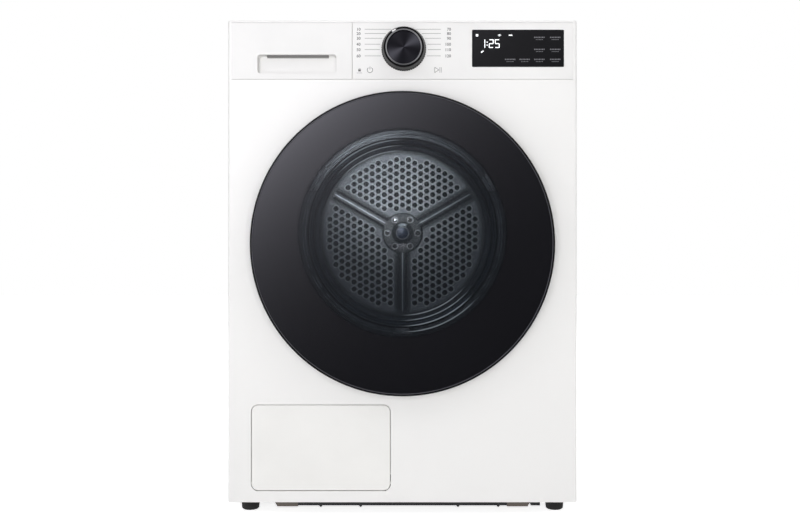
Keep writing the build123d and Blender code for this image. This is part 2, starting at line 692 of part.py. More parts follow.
with BuildPart() as base_skids:
    for skid_side in (-1, 1):
        skid_middle = skid_side * (SKID_INNER + SKID_WIDTH / 2)
        with BuildSketch(face_plane(SKID_SETBACK)) as skid_section:
            with Locations((skid_middle, (SKID_BOTTOM + PANEL_BOTTOM) / 2)):
                skid_ends = (SKID_SLOPE, SKID_SQUARE)[::skid_side]
                Trapezoid(SKID_WIDTH, PANEL_BOTTOM - SKID_BOTTOM, *skid_ends, rotation=180)
        extrude(skid_section.sketch, amount=-SKID_LENGTH)
        block(
            sorted((skid_side * SKID_INNER, skid_side * (SKID_INNER + SKID_WIDTH))),
            (BASE_SETBACK, SKID_SETBACK + SKID_LENGTH),
            (PANEL_BOTTOM, BASE_FLOOR - BASE_THICK),
        )


def foot(side, depth):
    """A levelling foot: a threaded stem with a slightly tapered pad."""
    with BuildPart() as levelling_foot:
        with BuildSketch(Plane.XZ) as section:
            with BuildLine():
                Polyline(
                    (0, 0),
                    (FOOT_R - FOOT_TAPER - FOOT_SOLE, 0),
                    (FOOT_R - FOOT_TAPER, FOOT_SOLE),
                    (FOOT_R, FOOT_HEIGHT),
                    (FOOT_STEM_R, FOOT_HEIGHT),
                    (FOOT_STEM_R, FOOT_HEIGHT + FOOT_STEM_LENGTH),
                    (0, FOOT_HEIGHT + FOOT_STEM_LENGTH),
                    close=True,
                )
            make_face()
        revolve(section.sketch, axis=Axis.Z)
    return levelling_foot.part.moved(Location((side * FOOT_X, at_depth(depth), 0)))


# Front bulkhead, seals and the parts in the tunnel

with BuildPart() as front_bulkhead:
    plate_z = (BULKHEAD_BOTTOM, FRONT_TOP)
    block((-INNER_HALF, INNER_HALF), (BULKHEAD_DEPTH, BULKHEAD_BACK), plate_z)
    ring(DRUM_CENTRE, TUNNEL_R, TUNNEL_OUTER_R, (0, BULKHEAD_BACK))
    ring(DRUM_CENTRE, 0, TUNNEL_R, (0, BULKHEAD_BACK), mode=Mode.SUBTRACT)
    felt_seat_depths = (BULKHEAD_BACK, BULKHEAD_BACK + FELT_SEAT_LENGTH)
    ring(DRUM_CENTRE, FELT_SEAT_R - FELT_SEAT_WALL, FELT_SEAT_R, felt_seat_depths)
    for axle_side in (-1, 1):
        axle = (axle_side * ROLLER_X, ROLLER_Z)
        ring(axle, 0, ROLLER_SHOULDER_R, (BULKHEAD_BACK, ROLLER_START - TOUCH))
        ring(axle, 0, ROLLER_AXLE_R, (BULKHEAD_BACK, ROLLER_START + ROLLER_WIDTH + ROLLER_OFFSET))
    slot_half = FILTER_HALF + FILTER_GAP
    slot_depths = (FRONT_DUCT_START + DUCT_WALL, FRONT_DUCT_START + FRONT_DUCT_LENGTH - DUCT_WALL)
    filter_z = DRUM_Z - FILTER_CHORD
    slot_z = (DRUM_Z - OPENING_R, filter_z + TUNNEL_WALL)
    block((-slot_half, slot_half), slot_depths, slot_z, mode=Mode.SUBTRACT)
    block(
        (-LAMP_HALF - TOUCH, LAMP_HALF + TOUCH),
        (LAMP_DEPTH - TOUCH, LAMP_DEPTH + LAMP_LENGTH + TOUCH),
        (DRUM_Z + TUNNEL_R - TUNNEL_WALL, DRUM_Z + OPENING_R),
        mode=Mode.SUBTRACT,
    )

with BuildPart() as door_seal:
    turned(
        DRUM_CENTRE,
        (TUNNEL_OUTER_R, OPENING_COLLAR),
        (TUNNEL_OUTER_R, 0),
        (TUNNEL_OUTER_R - SEAL_LIP_OVERLAP, 0),
        (TUNNEL_OUTER_R, -SEAL_LIP),
        (OPENING_R, -SEAL_LIP),
        (OPENING_R + SEAL_LIP_OVERLAP, 0),
        (OPENING_R, 0),
        (OPENING_R, OPENING_COLLAR),
    )

with BuildPart() as drum_felt_rings:
    ring(DRUM_CENTRE, FELT_SEAT_R, FELT_R, (DRUM_START - TOUCH, BULKHEAD_BACK + FELT_SEAT_LENGTH))
    rear_felt_r = REAR_DUCT_R - DUCT_WALL / 2
    ring(
        DRUM_CENTRE,
        rear_felt_r - REAR_FELT_WIDTH / 2,
        rear_felt_r + REAR_FELT_WIDTH / 2,
        (DRUM_END + FELT_RUNNING_GAP, DRUM_END + FELT_THICK),
    )

with BuildPart() as front_air_duct:
    for wall in (0, DUCT_WALL):
        mode = Mode.SUBTRACT if wall else Mode.ADD
        duct_x = (-FRONT_DUCT_HALF + wall, FRONT_DUCT_HALF - wall)
        duct_depths = (FRONT_DUCT_START + wall, FRONT_DUCT_START + FRONT_DUCT_LENGTH - wall)
        foot_x = (PLENUM_LEFT + wall, PLENUM_RIGHT - wall)
        foot_depths = (PLENUM_START + wall, PLENUM_START + PLENUM_MOUTH + DUCT_WALL - wall)
        with BuildSketch(Plane.XY.offset(PLENUM_TOP)) as duct_foot:
            with Locations((middle(foot_x), at_depth(middle(foot_depths)))):
                Rectangle(foot_x[1] - foot_x[0], foot_depths[1] - foot_depths[0])
        with BuildSketch(Plane.XY.offset(FRONT_DUCT_BEND)) as duct_throat:
            with Locations((middle(duct_x), at_depth(middle(duct_depths)))):
                Rectangle(duct_x[1] - duct_x[0], duct_depths[1] - duct_depths[0])
        loft([duct_foot.sketch, duct_throat.sketch], mode=mode)
        block(duct_x, duct_depths, (FRONT_DUCT_BEND, DRUM_Z - FILTER_CHORD), mode=mode)
    for ledge_side in (-1, 1):
        ledge_x = sorted((ledge_side * FRONT_DUCT_HALF, ledge_side * (FRONT_DUCT_HALF - 4 * DUCT_WALL)))
        ledge_depths = (FRONT_DUCT_START, FRONT_DUCT_START + FRONT_DUCT_LENGTH)
        block(ledge_x, ledge_depths, (FRONT_DUCT_BEND, FRONT_DUCT_BEND + DUCT_WALL))
    ring(DRUM_CENTRE, 0, TUNNEL_OUTER_R + TOUCH, (0, BULKHEAD_DEPTH), mode=Mode.SUBTRACT)

with BuildPart() as lint_filter:
    filter_depths = (slot_depths[0] + FILTER_GAP, slot_depths[1] - FILTER_GAP)
    filter_bottom = FRONT_DUCT_BEND + DUCT_WALL + TOUCH
    body_half = FILTER_HALF - FILTER_BODY_INSET
    body_depths = (filter_depths[0] + FILTER_FRAME, filter_depths[1] - FILTER_FRAME)
    block((-FILTER_HALF, FILTER_HALF), filter_depths, (filter_z - FILTER_TOP, filter_z))
    block((-body_half, body_half), body_depths, (filter_bottom, filter_z))
    block(
        (-body_half + FILTER_FRAME, body_half - FILTER_FRAME),
        (body_depths[0] + FILTER_FRAME, body_depths[1] - FILTER_FRAME),
        (filter_bottom + FILTER_FRAME, filter_z),
        mode=Mode.SUBTRACT,
    )
    window_pitch = 2 * body_half / FILTER_WINDOW_COUNT
    window_z = (filter_bottom + FILTER_RIB, filter_z - FILTER_TOP - FILTER_RIB)
    with Locations((0, at_depth(middle(body_depths)), middle(window_z))):
        with GridLocations(window_pitch, 0, FILTER_WINDOW_COUNT, 1):
            Box(
                window_pitch - FILTER_RIB,
                2 * (body_depths[1] - body_depths[0]),
                window_z[1] - window_z[0],
                mode=Mode.SUBTRACT,
            )

with BuildPart() as drum_lamp:
    lamp_x = (-LAMP_HALF, LAMP_HALF)
    lamp_depths = (LAMP_DEPTH, LAMP_DEPTH + LAMP_LENGTH)
    lamp_seat = DRUM_Z + TUNNEL_OUTER_R
    block(lamp_x, lamp_depths, (DRUM_Z + TUNNEL_R, lamp_seat))
    fillet(drum_lamp.edges().filter_by(Axis.Y).group_by(Axis.Z)[0], TUNNEL_WALL / 2)
    block(
        (lamp_x[0] - LAMP_FLANGE, lamp_x[1] + LAMP_FLANGE),
        (lamp_depths[0] - LAMP_FLANGE, lamp_depths[1] + LAMP_FLANGE),
        (lamp_seat, lamp_seat + LAMP_FLANGE),
    )

with BuildPart() as moisture_sensor_bars:
    start_angle = radians(270 + SENSOR_ARC / 2)
    bar_plane = Plane(
        origin=(0, FRONT_Y, DRUM_Z),
        x_dir=(cos(start_angle), 0, sin(start_angle)),
        z_dir=(-sin(start_angle), 0, cos(start_angle)),
    )
    bar_r = TUNNEL_R - TOUCH - SENSOR_THICK / 2
    for bar_depth in SENSOR_DEPTHS:
        with BuildSketch(bar_plane) as bar_section:
            with Locations((bar_r, bar_depth + SENSOR_WIDTH / 2)):
                Rectangle(SENSOR_THICK, SENSOR_WIDTH)
        revolve(
            bar_section.sketch, axis=Axis((0, FRONT_Y, DRUM_Z), (0, 1, 0)), revolution_arc=SENSOR_ARC
        )


# Drum

with BuildPart() as drum_shell:
    inner = DRUM_R - DRUM_SHEET
    bead_near = DRUM_START + BEAD_INSET
    bead_far = DRUM_END - BEAD_INSET
    turned(
        DRUM_CENTRE,
        (MOUTH_R, DRUM_START),
        (DRUM_R, DRUM_START),
        (DRUM_R, bead_near),
        (DRUM_R + BEAD_HEIGHT, bead_near + BEAD_WIDTH / 2),
        (DRUM_R, bead_near + BEAD_WIDTH),
        (DRUM_R, bead_far - BEAD_WIDTH),
        (DRUM_R + BEAD_HEIGHT, bead_far - BEAD_WIDTH / 2),
        (DRUM_R, bead_far),
        (DRUM_R, DRUM_END),
        (BACK_DISH_R, DRUM_END),
        (BACK_FLAT_R, SPIDER_START + DRUM_SHEET),
        (BACK_FLAT_R - BACK_SEAT, SPIDER_START + DRUM_SHEET),
        (BACK_FLAT_R - BACK_SEAT, SPIDER_START),
        (BACK_FLAT_R, SPIDER_START),
        (BACK_DISH_R, DRUM_END - DRUM_SHEET),
        (inner, DRUM_END - DRUM_SHEET),
        (inner, bead_far),
        (inner + BEAD_HEIGHT, bead_far - BEAD_WIDTH / 2),
        (inner, bead_far - BEAD_WIDTH),
        (inner, bead_near + BEAD_WIDTH),
        (inner + BEAD_HEIGHT, bead_near + BEAD_WIDTH / 2),
        (inner, bead_near),
        (inner, DRUM_START + DRUM_SHEET),
        (MOUTH_R + DRUM_SHEET, DRUM_START + DRUM_SHEET),
        (MOUTH_R + DRUM_SHEET, DRUM_START + DRUM_LIP_ROLL),
        (MOUTH_R, DRUM_START + DRUM_LIP_ROLL),
    )


def spoke_angles():
    """The angles of the pressed spokes and of the lifters, counted from +X towards +Z."""
    return [SPOKE_START_ANGLE + index * 360 / SPOKE_COUNT for index in range(SPOKE_COUNT)]


def spoke_offset(x, z):
    """How far a point of the drum back lies from the centre line of the nearest spoke."""
    offsets = []
    for angle in spoke_angles():
        along = x * cos(radians(angle)) + z * sin(radians(angle))
        across = z * cos(radians(angle)) - x * sin(radians(angle))
        offsets.append(abs(across) if along > 0 else hypot(x, z))
    return min(offsets)


def perforations():
    """The hole centres of the drum back: a staggered field between the hub and the dished edge."""
    row_pitch = HOLE_PITCH / 2
    column_pitch = HOLE_PITCH * sqrt(3) / 2
    reach = int(PERFORATED_R / row_pitch) + 1
    centres = []
    for column_index in range(-reach, reach + 1):
        for row_index in range(-reach, reach + 1):
            if (column_index + row_index) % 2:
                continue
            x = column_index * column_pitch
            z = row_index * row_pitch
            clear_of_hub = hypot(x, z) > HUB_R + HOLE_R + SPOKE_LAND / 2
            inside_field = hypot(x, z) < PERFORATED_R - HOLE_R
            clear_of_spokes = spoke_offset(x, z) > SPOKE_WIDTH / 2 + HOLE_R + SPOKE_LAND / 2
            if clear_of_hub and inside_field and clear_of_spokes:
                centres.append((x, z + DRUM_Z))
    return centres


with BuildPart() as drum_back:
    with BuildSketch(face_plane(BACK_DISC_DEPTH)) as perforated_disc:
        with Locations(DRUM_CENTRE):
            Circle(BACK_FLAT_R - TOUCH)
            Circle(SHAFT_R + TOUCH, mode=Mode.SUBTRACT)
        with Locations(*perforations()):
            RegularPolygon(HOLE_R, 6, mode=Mode.SUBTRACT)
    extrude(perforated_disc.sketch, amount=-DRUM_SHEET, clean=False)

with BuildPart() as drum_hub:
    hub_face = BACK_DISC_DEPTH - HUB_THICK
    turned(
        DRUM_CENTRE,
        (0, BACK_DISC_DEPTH),
        (HUB_R - TOUCH, BACK_DISC_DEPTH),
        (HUB_R - TOUCH, hub_face + HUB_THICK / 2),
        (HUB_R - HUB_THICK / 2, hub_face),
        (HUB_CONE_R, hub_face),
        (HUB_CAP_R + HUB_SCREW_RECESS_DEPTH, hub_face - HUB_NOSE / 2),
        (HUB_CAP_R, hub_face - HUB_NOSE),
        (0, hub_face - HUB_NOSE - HUB_SCREW_RECESS_DEPTH),
    )
    for angle in spoke_angles():
        along = (cos(radians(angle)), 0, sin(radians(angle)))
        root_r = HUB_R - HUB_THICK
        spoke_plane = Plane(
            origin=(root_r * along[0], at_depth(BACK_DISC_DEPTH), DRUM_Z + root_r * along[2]),
            x_dir=(-along[2], 0, along[0]),
            z_dir=along,
        )
        with BuildSketch(spoke_plane) as spoke_section:
            with BuildLine():
                Polyline(
                    (-SPOKE_WIDTH / 2, 0),
                    (SPOKE_WIDTH / 2, 0),
                    (SPOKE_CREST / 2, SPOKE_HEIGHT),
                    (-SPOKE_CREST / 2, SPOKE_HEIGHT),
                    close=True,
                )
            make_face()
        extrude(spoke_section.sketch, amount=PERFORATED_R - root_r)
    with BuildSketch(face_plane(hub_face)) as screw_recesses:
        with Locations(DRUM_CENTRE):
            with PolarLocations(HUB_SCREW_R, HUB_SCREW_COUNT):
                Circle(HUB_SCREW_RECESS_R)
    extrude(screw_recesses.sketch, amount=-HUB_SCREW_RECESS_DEPTH, mode=Mode.SUBTRACT)

with BuildPart() as drum_spider:
    ring(DRUM_CENTRE, 0, SPIDER_FLANGE_R, (SPIDER_START, SPIDER_START + SPIDER_FLANGE_THICK))
    ring(DRUM_CENTRE, 0, SHAFT_R, (SPIDER_START, SPIDER_START + SHAFT_LENGTH))
    for angle in spoke_angles():
        along = (cos(radians(angle)), 0, sin(radians(angle)))
        arm_plane = Plane(
            origin=(0, at_depth(SPIDER_START), DRUM_Z), x_dir=(-along[2], 0, along[0]), z_dir=along
        )
        with BuildSketch(arm_plane) as arm_root:
            with Locations((0, -SPIDER_ARM_THICK / 2)):
                Rectangle(SPIDER_ARM_WIDTH, SPIDER_ARM_THICK)
        with BuildSketch(arm_plane.offset(SPIDER_ARM_R)) as arm_tip:
            with Locations((0, -SPIDER_FLANGE_THICK / 4)):
                Rectangle(SPOKE_CREST, SPIDER_FLANGE_THICK / 2)
        loft([arm_root.sketch, arm_tip.sketch])

with BuildPart() as drum_lifters:
    lifter_base_r = DRUM_R - DRUM_SHEET - TOUCH
    lifter_start = DRUM_START + LIFTER_INSET
    lifter_length = DRUM_LENGTH - 2 * LIFTER_INSET
    for wall in (0, LIFTER_WALL):
        mode = Mode.SUBTRACT if wall else Mode.ADD
        for angle in spoke_angles():
            lifter_plane = Plane(
                origin=(0, at_depth(lifter_start + wall), DRUM_Z),
                x_dir=(cos(radians(angle)), 0, sin(radians(angle))),
                z_dir=(0, -1, 0),
            )
            with BuildSketch(lifter_plane) as lifter_section:
                with BuildLine():
                    Polyline(
                        (DRUM_R, LIFTER_BASE / 2 - wall),
                        (DRUM_R - LIFTER_HEIGHT + wall, LIFTER_CREST / 2 - wall),
                        (DRUM_R - LIFTER_HEIGHT + wall, wall - LIFTER_CREST / 2),
                        (DRUM_R, wall - LIFTER_BASE / 2),
                        close=True,
                    )
                make_face()
                crest = lifter_section.vertices().group_by(Axis.X)[0]
                fillet(crest, LIFTER_CREST_FILLET - wall)
            extrude(lifter_section.sketch, amount=-(lifter_length - 2 * wall), mode=mode)
    ring(DRUM_CENTRE, lifter_base_r, DRUM_R + LIFTER_HEIGHT, (DRUM_START, DRUM_END), mode=Mode.SUBTRACT)


# Drum bearing, rollers and belt drive

with BuildPart() as shaft_bearing:
    ring(DRUM_CENTRE, SHAFT_R + RUNNING_FIT, BEARING_R - RUNNING_FIT, (BEARING_START, BEARING_END))


def roller(side):
    """A support roller under the drum's front edge: a rubber tread on a plastic hub."""
    centre = (side * ROLLER_X, ROLLER_Z)
    end = ROLLER_START + ROLLER_WIDTH
    bore_r = ROLLER_AXLE_R + RUNNING_FIT
    web = ROLLER_WIDTH / 4
    hub_r = bore_r + ROLLER_SHOULDER_R - ROLLER_AXLE_R
    tread_r = ROLLER_R - hub_r / 2
    with BuildPart() as wheel:
        turned(
            centre,
            (bore_r, ROLLER_START),
            (hub_r, ROLLER_START),
            (hub_r, ROLLER_START + web),
            (tread_r, ROLLER_START + web),
            (tread_r, ROLLER_START),
            (ROLLER_R, ROLLER_START),
            (ROLLER_R, end),
            (tread_r, end),
            (tread_r, end - web),
            (hub_r, end - web),
            (hub_r, end),
            (bore_r, end),
        )
    return wheel.part


# The belt runs round the drum and the motor pulley; the idler presses on its right-hand run.
DRIVE_DX = MOTOR_X
DRIVE_DZ = MOTOR_Z - DRUM_Z
DRIVE_SPAN = hypot(DRIVE_DX, DRIVE_DZ)
BELT_LIFT = acos((DRUM_R - PULLEY_R) / DRIVE_SPAN)
BELT_NORMAL = atan2(DRIVE_DZ, DRIVE_DX) + BELT_LIFT
IDLER_ORBIT = BELT_GAP + BELT_THICK + BELT_GAP + IDLER_R
DRUM_TANGENT = DRUM_R + IDLER_ORBIT
PULLEY_TANGENT = PULLEY_R + IDLER_ORBIT
IDLER_X = (
    IDLER_RUN_SHARE * DRUM_TANGENT * cos(BELT_NORMAL)
    + (1 - IDLER_RUN_SHARE) * (MOTOR_X + PULLEY_TANGENT * cos(BELT_NORMAL))
)
IDLER_Z = (
    IDLER_RUN_SHARE * (DRUM_Z + DRUM_TANGENT * sin(BELT_NORMAL))
    + (1 - IDLER_RUN_SHARE) * (MOTOR_Z + PULLEY_TANGENT * sin(BELT_NORMAL))
)
BELT_END = BELT_DEPTH + BELT_WIDTH

with BuildPart() as drive_belt:
    for lift, mode in ((BELT_GAP + BELT_THICK, Mode.ADD), (BELT_GAP, Mode.SUBTRACT)):
        with BuildSketch(face_plane(BELT_DEPTH)) as belt_outline:
            with Locations(DRUM_CENTRE):
                Circle(DRUM_R + lift)
            with Locations((MOTOR_X, MOTOR_Z)):
                Circle(PULLEY_R + lift)
            make_hull()
        extrude(belt_outline.sketch, amount=-BELT_WIDTH, mode=mode)

with BuildPart() as idler_bracket:
    bracket_start = BELT_END + BELT_GAP + PULLEY_FLANGE
    with BuildSketch(face_plane(bracket_start)) as bracket_outline:
        with Locations((IDLER_X, IDLER_Z)):
            Circle(IDLER_BRACKET_WIDTH / 2)
        with Locations((IDLER_X, (BASE_FLOOR + IDLER_Z) / 2)):
            Rectangle(IDLER_BRACKET_WIDTH, IDLER_Z - BASE_FLOOR)
    extrude(bracket_outline.sketch, amount=-IDLER_BRACKET_THICK)
    block(
        (IDLER_X - IDLER_BRACKET_WIDTH / 2, IDLER_X + IDLER_BRACKET_WIDTH / 2),
        (bracket_start, bracket_start + IDLER_BRACKET_WIDTH),
        (BASE_FLOOR, BASE_FLOOR + IDLER_BRACKET_THICK),
    )
    ring((IDLER_X, IDLER_Z), 0, IDLER_AXLE_R, (BELT_DEPTH - PULLEY_FLANGE, bracket_start))

with BuildPart() as idler_pulley:
    ring((IDLER_X, IDLER_Z), IDLER_AXLE_R + RUNNING_FIT, IDLER_R, (BELT_DEPTH, BELT_END))
    for groove_side in (BELT_DEPTH, BELT_END - BELT_WIDTH / 4):
        ring(
            (IDLER_X, IDLER_Z),
            IDLER_AXLE_R + BELT_THICK,
            IDLER_R - BELT_THICK,
            (groove_side, groove_side + BELT_WIDTH / 4),
            mode=Mode.SUBTRACT,
        )

MOTOR_CENTRE = (MOTOR_X, MOTOR_Z)
MOTOR_END = MOTOR_START + MOTOR_LENGTH
BLOWER_END = BLOWER_START + BLOWER_LENGTH
WHEEL_START = BLOWER_START + WHEEL_SIDE_GAP
WHEEL_END = BLOWER_END - WHEEL_SIDE_GAP

with BuildPart() as motor_housing:
    ring(MOTOR_CENTRE, 0, MOTOR_R, (MOTOR_START, MOTOR_END))
    with BuildSketch(face_plane(MOTOR_START + MOTOR_LENGTH / 4)) as fin_slots:
        with Locations(MOTOR_CENTRE):
            with PolarLocations(MOTOR_R, MOTOR_FIN_COUNT):
                Rectangle(2 * MOTOR_FIN_DEPTH, 2 * MOTOR_FIN_DEPTH)
    extrude(fin_slots.sketch, amount=-MOTOR_LENGTH / 2, mode=Mode.SUBTRACT)
    block(
        (MOTOR_X - MOTOR_FOOT_HALF, MOTOR_X + MOTOR_FOOT_HALF),
        (MOTOR_START + MOTOR_LENGTH / 8, MOTOR_END - MOTOR_LENGTH / 8),
        (BASE_FLOOR, MOTOR_Z - MOTOR_FOOT_DROP),
    )
    ring(MOTOR_CENTRE, 0, MOTOR_SHAFT_R + RUNNING_FIT, (MOTOR_START, MOTOR_END), mode=Mode.SUBTRACT)

with BuildPart() as motor_rotor:
    ring(MOTOR_CENTRE, 0, MOTOR_SHAFT_R, (BELT_DEPTH - PULLEY_FLANGE, WHEEL_END))
    ring(MOTOR_CENTRE, 0, PULLEY_R, (BELT_DEPTH - PULLEY_FLANGE, BELT_END + PULLEY_FLANGE))

with BuildPart() as blower_wheel:
    back_start = WHEEL_END - WHEEL_DISC
    ring(MOTOR_CENTRE, MOTOR_SHAFT_R, WHEEL_R, (back_start, WHEEL_END))
    ring(MOTOR_CENTRE, MOTOR_SHAFT_R, WHEEL_HUB_R, (WHEEL_START + WHEEL_SIDE_GAP, WHEEL_END))
    ring(MOTOR_CENTRE, WHEEL_INNER_R, WHEEL_R, (WHEEL_START, WHEEL_START + WHEEL_DISC))
    with BuildSketch(face_plane(WHEEL_START)) as blades:
        with Locations(MOTOR_CENTRE):
            with PolarLocations((WHEEL_INNER_R + WHEEL_R) / 2, BLADE_COUNT):
                Rectangle(WHEEL_R - WHEEL_INNER_R - BLADE_THICK, BLADE_THICK, rotation=BLADE_ANGLE)
    extrude(blades.sketch, amount=-(WHEEL_END - WHEEL_START))

BLOWER_OUTLET_TOP = MOTOR_Z + BLOWER_R
BLOWER_OUTLET_Z = (BLOWER_OUTLET_TOP - BLOWER_OUTLET_HEIGHT, BLOWER_OUTLET_TOP)
BLOWER_OUTLET_X = (SPOUT_HALF + TOUCH, MOTOR_X)

with BuildPart() as blower_housing:
    ring(MOTOR_CENTRE, 0, BLOWER_R, (BLOWER_START, BLOWER_END))
    block(BLOWER_OUTLET_X, (BLOWER_START, BLOWER_END), BLOWER_OUTLET_Z)
    block(
        (MOTOR_X - WHEEL_INNER_R, MOTOR_X + WHEEL_INNER_R),
        (BLOWER_START, BLOWER_END),
        (BASE_FLOOR, MOTOR_Z - WHEEL_R),
    )
    inside_depths = (BLOWER_START + DUCT_WALL, BLOWER_END - DUCT_WALL)
    ring(MOTOR_CENTRE, 0, BLOWER_R - DUCT_WALL, inside_depths, mode=Mode.SUBTRACT)
    block(
        BLOWER_OUTLET_X,
        inside_depths,
        (BLOWER_OUTLET_Z[0] + DUCT_WALL, BLOWER_OUTLET_Z[1] - DUCT_WALL),
        mode=Mode.SUBTRACT,
    )
    ring(MOTOR_CENTRE, 0, BLOWER_INLET_R, (BLOWER_START, BLOWER_START + DUCT_WALL), mode=Mode.SUBTRACT)

with BuildPart() as rear_duct:
    duct_start = DRUM_END + FELT_THICK
    spout_depths = (duct_start + SPOUT_SETBACK / 2, REAR_FACE - DUCT_WALL)
    ring(DRUM_CENTRE, 0, REAR_DUCT_R, (duct_start, REAR_FACE))
    block((-SPOUT_HALF, SPOUT_HALF), spout_depths, (SPOUT_BOTTOM, DRUM_Z))
    ring(DRUM_CENTRE, 0, REAR_DUCT_R - DUCT_WALL, (duct_start, REAR_FACE), mode=Mode.SUBTRACT)
    block(
        (DUCT_WALL - SPOUT_HALF, SPOUT_HALF - DUCT_WALL),
        (spout_depths[0] + DUCT_WALL, spout_depths[1] - DUCT_WALL),
        (SPOUT_BOTTOM + DUCT_WALL, DRUM_Z),
        mode=Mode.SUBTRACT,
    )
    block(
        (SPOUT_HALF - DUCT_WALL, SPOUT_HALF),
        (BLOWER_START + 2 * DUCT_WALL, BLOWER_END - DUCT_WALL),
        (BLOWER_OUTLET_Z[0] + DUCT_WALL, BLOWER_OUTLET_Z[1] - DUCT_WALL),
        mode=Mode.SUBTRACT,
    )


# Heat pump and condensate

with BuildPart() as compressor:
    comp_top = drum_underside(COMPRESSOR_X - COMPRESSOR_R, COMPRESSOR_UNDER_DRUM)
    comp_bottom = BASE_FLOOR + COMPRESSOR_PAD
    comp_y = at_depth(COMPRESSOR_DEPTH)
    with BuildSketch(Plane.XZ) as shell_section:
        with BuildLine():
            Polyline(
                (0, comp_bottom),
                (COMPRESSOR_R, comp_bottom),
                (COMPRESSOR_R, comp_top),
                (0, comp_top),
                close=True,
            )
        make_face()
        corners = shell_section.vertices().group_by(Axis.X)[-1]
        fillet(corners, COMPRESSOR_DOME)
    revolve(shell_section.sketch, axis=Axis.Z)
    with PolarLocations(COMPRESSOR_PAD_PCD, COMPRESSOR_PAD_COUNT, start_angle=90):
        with Locations((0, 0, BASE_FLOOR + COMPRESSOR_PAD / 2)):
            Cylinder(COMPRESSOR_PAD_R, COMPRESSOR_PAD)
    with BuildSketch(Plane.XY.offset(comp_bottom)) as foot_plate:
        with PolarLocations(COMPRESSOR_PAD_PCD, COMPRESSOR_PAD_COUNT, start_angle=90):
            Circle(COMPRESSOR_PAD_R + SHEET)
        make_hull()
    extrude(foot_plate.sketch, amount=2 * SHEET)
compressor_part = compressor.part.moved(Location((COMPRESSOR_X, comp_y, 0)))

with BuildPart() as refrigerant_circuit:
    coil_x = (PLENUM_LEFT + DUCT_WALL + COIL_GAP, PLENUM_RIGHT - DUCT_WALL - COIL_GAP)
    coil_z = (BASE_FLOOR, PLENUM_TOP - DUCT_WALL - COIL_GAP)
    fin_pitch = (coil_x[1] - coil_x[0] - 2 * COIL_END_PLATE) / FIN_COUNT
    fin_height = coil_z[1] - coil_z[0] - 2 * COIL_END_PLATE
    coils = ((EVAPORATOR_START, EVAPORATOR_LENGTH), (CONDENSER_START, CONDENSER_LENGTH))
    for coil_start, coil_length in coils:
        block(coil_x, (coil_start, coil_start + coil_length), coil_z)
        pipe_y = at_depth(coil_start + coil_length / 2)
        with Locations((middle(coil_x), pipe_y, middle(coil_z))):
            with GridLocations(fin_pitch, 0, FIN_COUNT, 1):
                Box(FIN_SLOT, coil_length, fin_height, mode=Mode.SUBTRACT)
        comp_edge = (COMPRESSOR_X - COMPRESSOR_R, comp_y, pipe_z)
        with BuildLine() as pipe_run:
            if abs(pipe_y - comp_y) > 2 * PIPE_BEND:
                elbow_x = middle((PLENUM_RIGHT, comp_edge[0]))
                FilletPolyline(
                    (coil_x[1], pipe_y, pipe_z),
                    (elbow_x, pipe_y, pipe_z),
                    (elbow_x, comp_y, pipe_z),
                    comp_edge,
                    radius=PIPE_BEND,
                )
            else:
                Line((coil_x[1], pipe_y, pipe_z), comp_edge)
        with BuildSketch(Plane(origin=(coil_x[1], pipe_y, pipe_z), x_dir=(0, 1, 0), z_dir=(1, 0, 0))) as bore:
            Circle(PIPE_R)
        sweep(bore.sketch, path=pipe_run.line)

with BuildPart() as heat_exchanger_cover:
    cover_z = (BASE_FLOOR + COVER_MARGIN / 2, PLENUM_TOP - COVER_MARGIN / 2)
    cover_x = (PLENUM_LEFT + COVER_MARGIN / 2, PLENUM_RIGHT - COVER_MARGIN / 2)
    with BuildSketch(face_plane(PLENUM_START - COVER_THICK)) as cover_outline:
        with Locations((middle(cover_x), middle(cover_z))):
            RectangleRounded(cover_x[1] - cover_x[0], cover_z[1] - cover_z[0], COVER_MARGIN / 2)
    extrude(cover_outline.sketch, amount=-COVER_THICK)
    with BuildSketch(face_plane(PLENUM_START - COVER_THICK)) as cover_dish:
        with Locations((middle(cover_x), middle(cover_z))):
            RectangleRounded(
                cover_x[1] - cover_x[0] - 2 * COVER_MARGIN - 4 * COVER_LEVER_R,
                cover_z[1] - cover_z[0] - 2 * COVER_MARGIN,
                COVER_MARGIN / 2,
            )
    extrude(cover_dish.sketch, amount=-COVER_THICK / 2, mode=Mode.SUBTRACT)
    for lever_x in (cover_x[0] + 2 * COVER_LEVER_R, cover_x[1] - 2 * COVER_LEVER_R):
        ring((lever_x, middle(cover_z)), 0, COVER_LEVER_R, (PLENUM_START - COVER_THICK - SHEET, PLENUM_START))

with BuildPart() as condensate_pump:
    column(PUMP_X, PUMP_DEPTH, PUMP_R, (BASE_FLOOR, BASE_FLOOR + PUMP_HEIGHT))
    fillet(condensate_pump.edges().sort_by(Axis.Z)[-1], PUMP_R / 4)
    column(PUMP_X, PUMP_DEPTH, HOSE_R, (BASE_FLOOR, BASE_FLOOR + PUMP_HEIGHT + PUMP_STUB_HEIGHT))

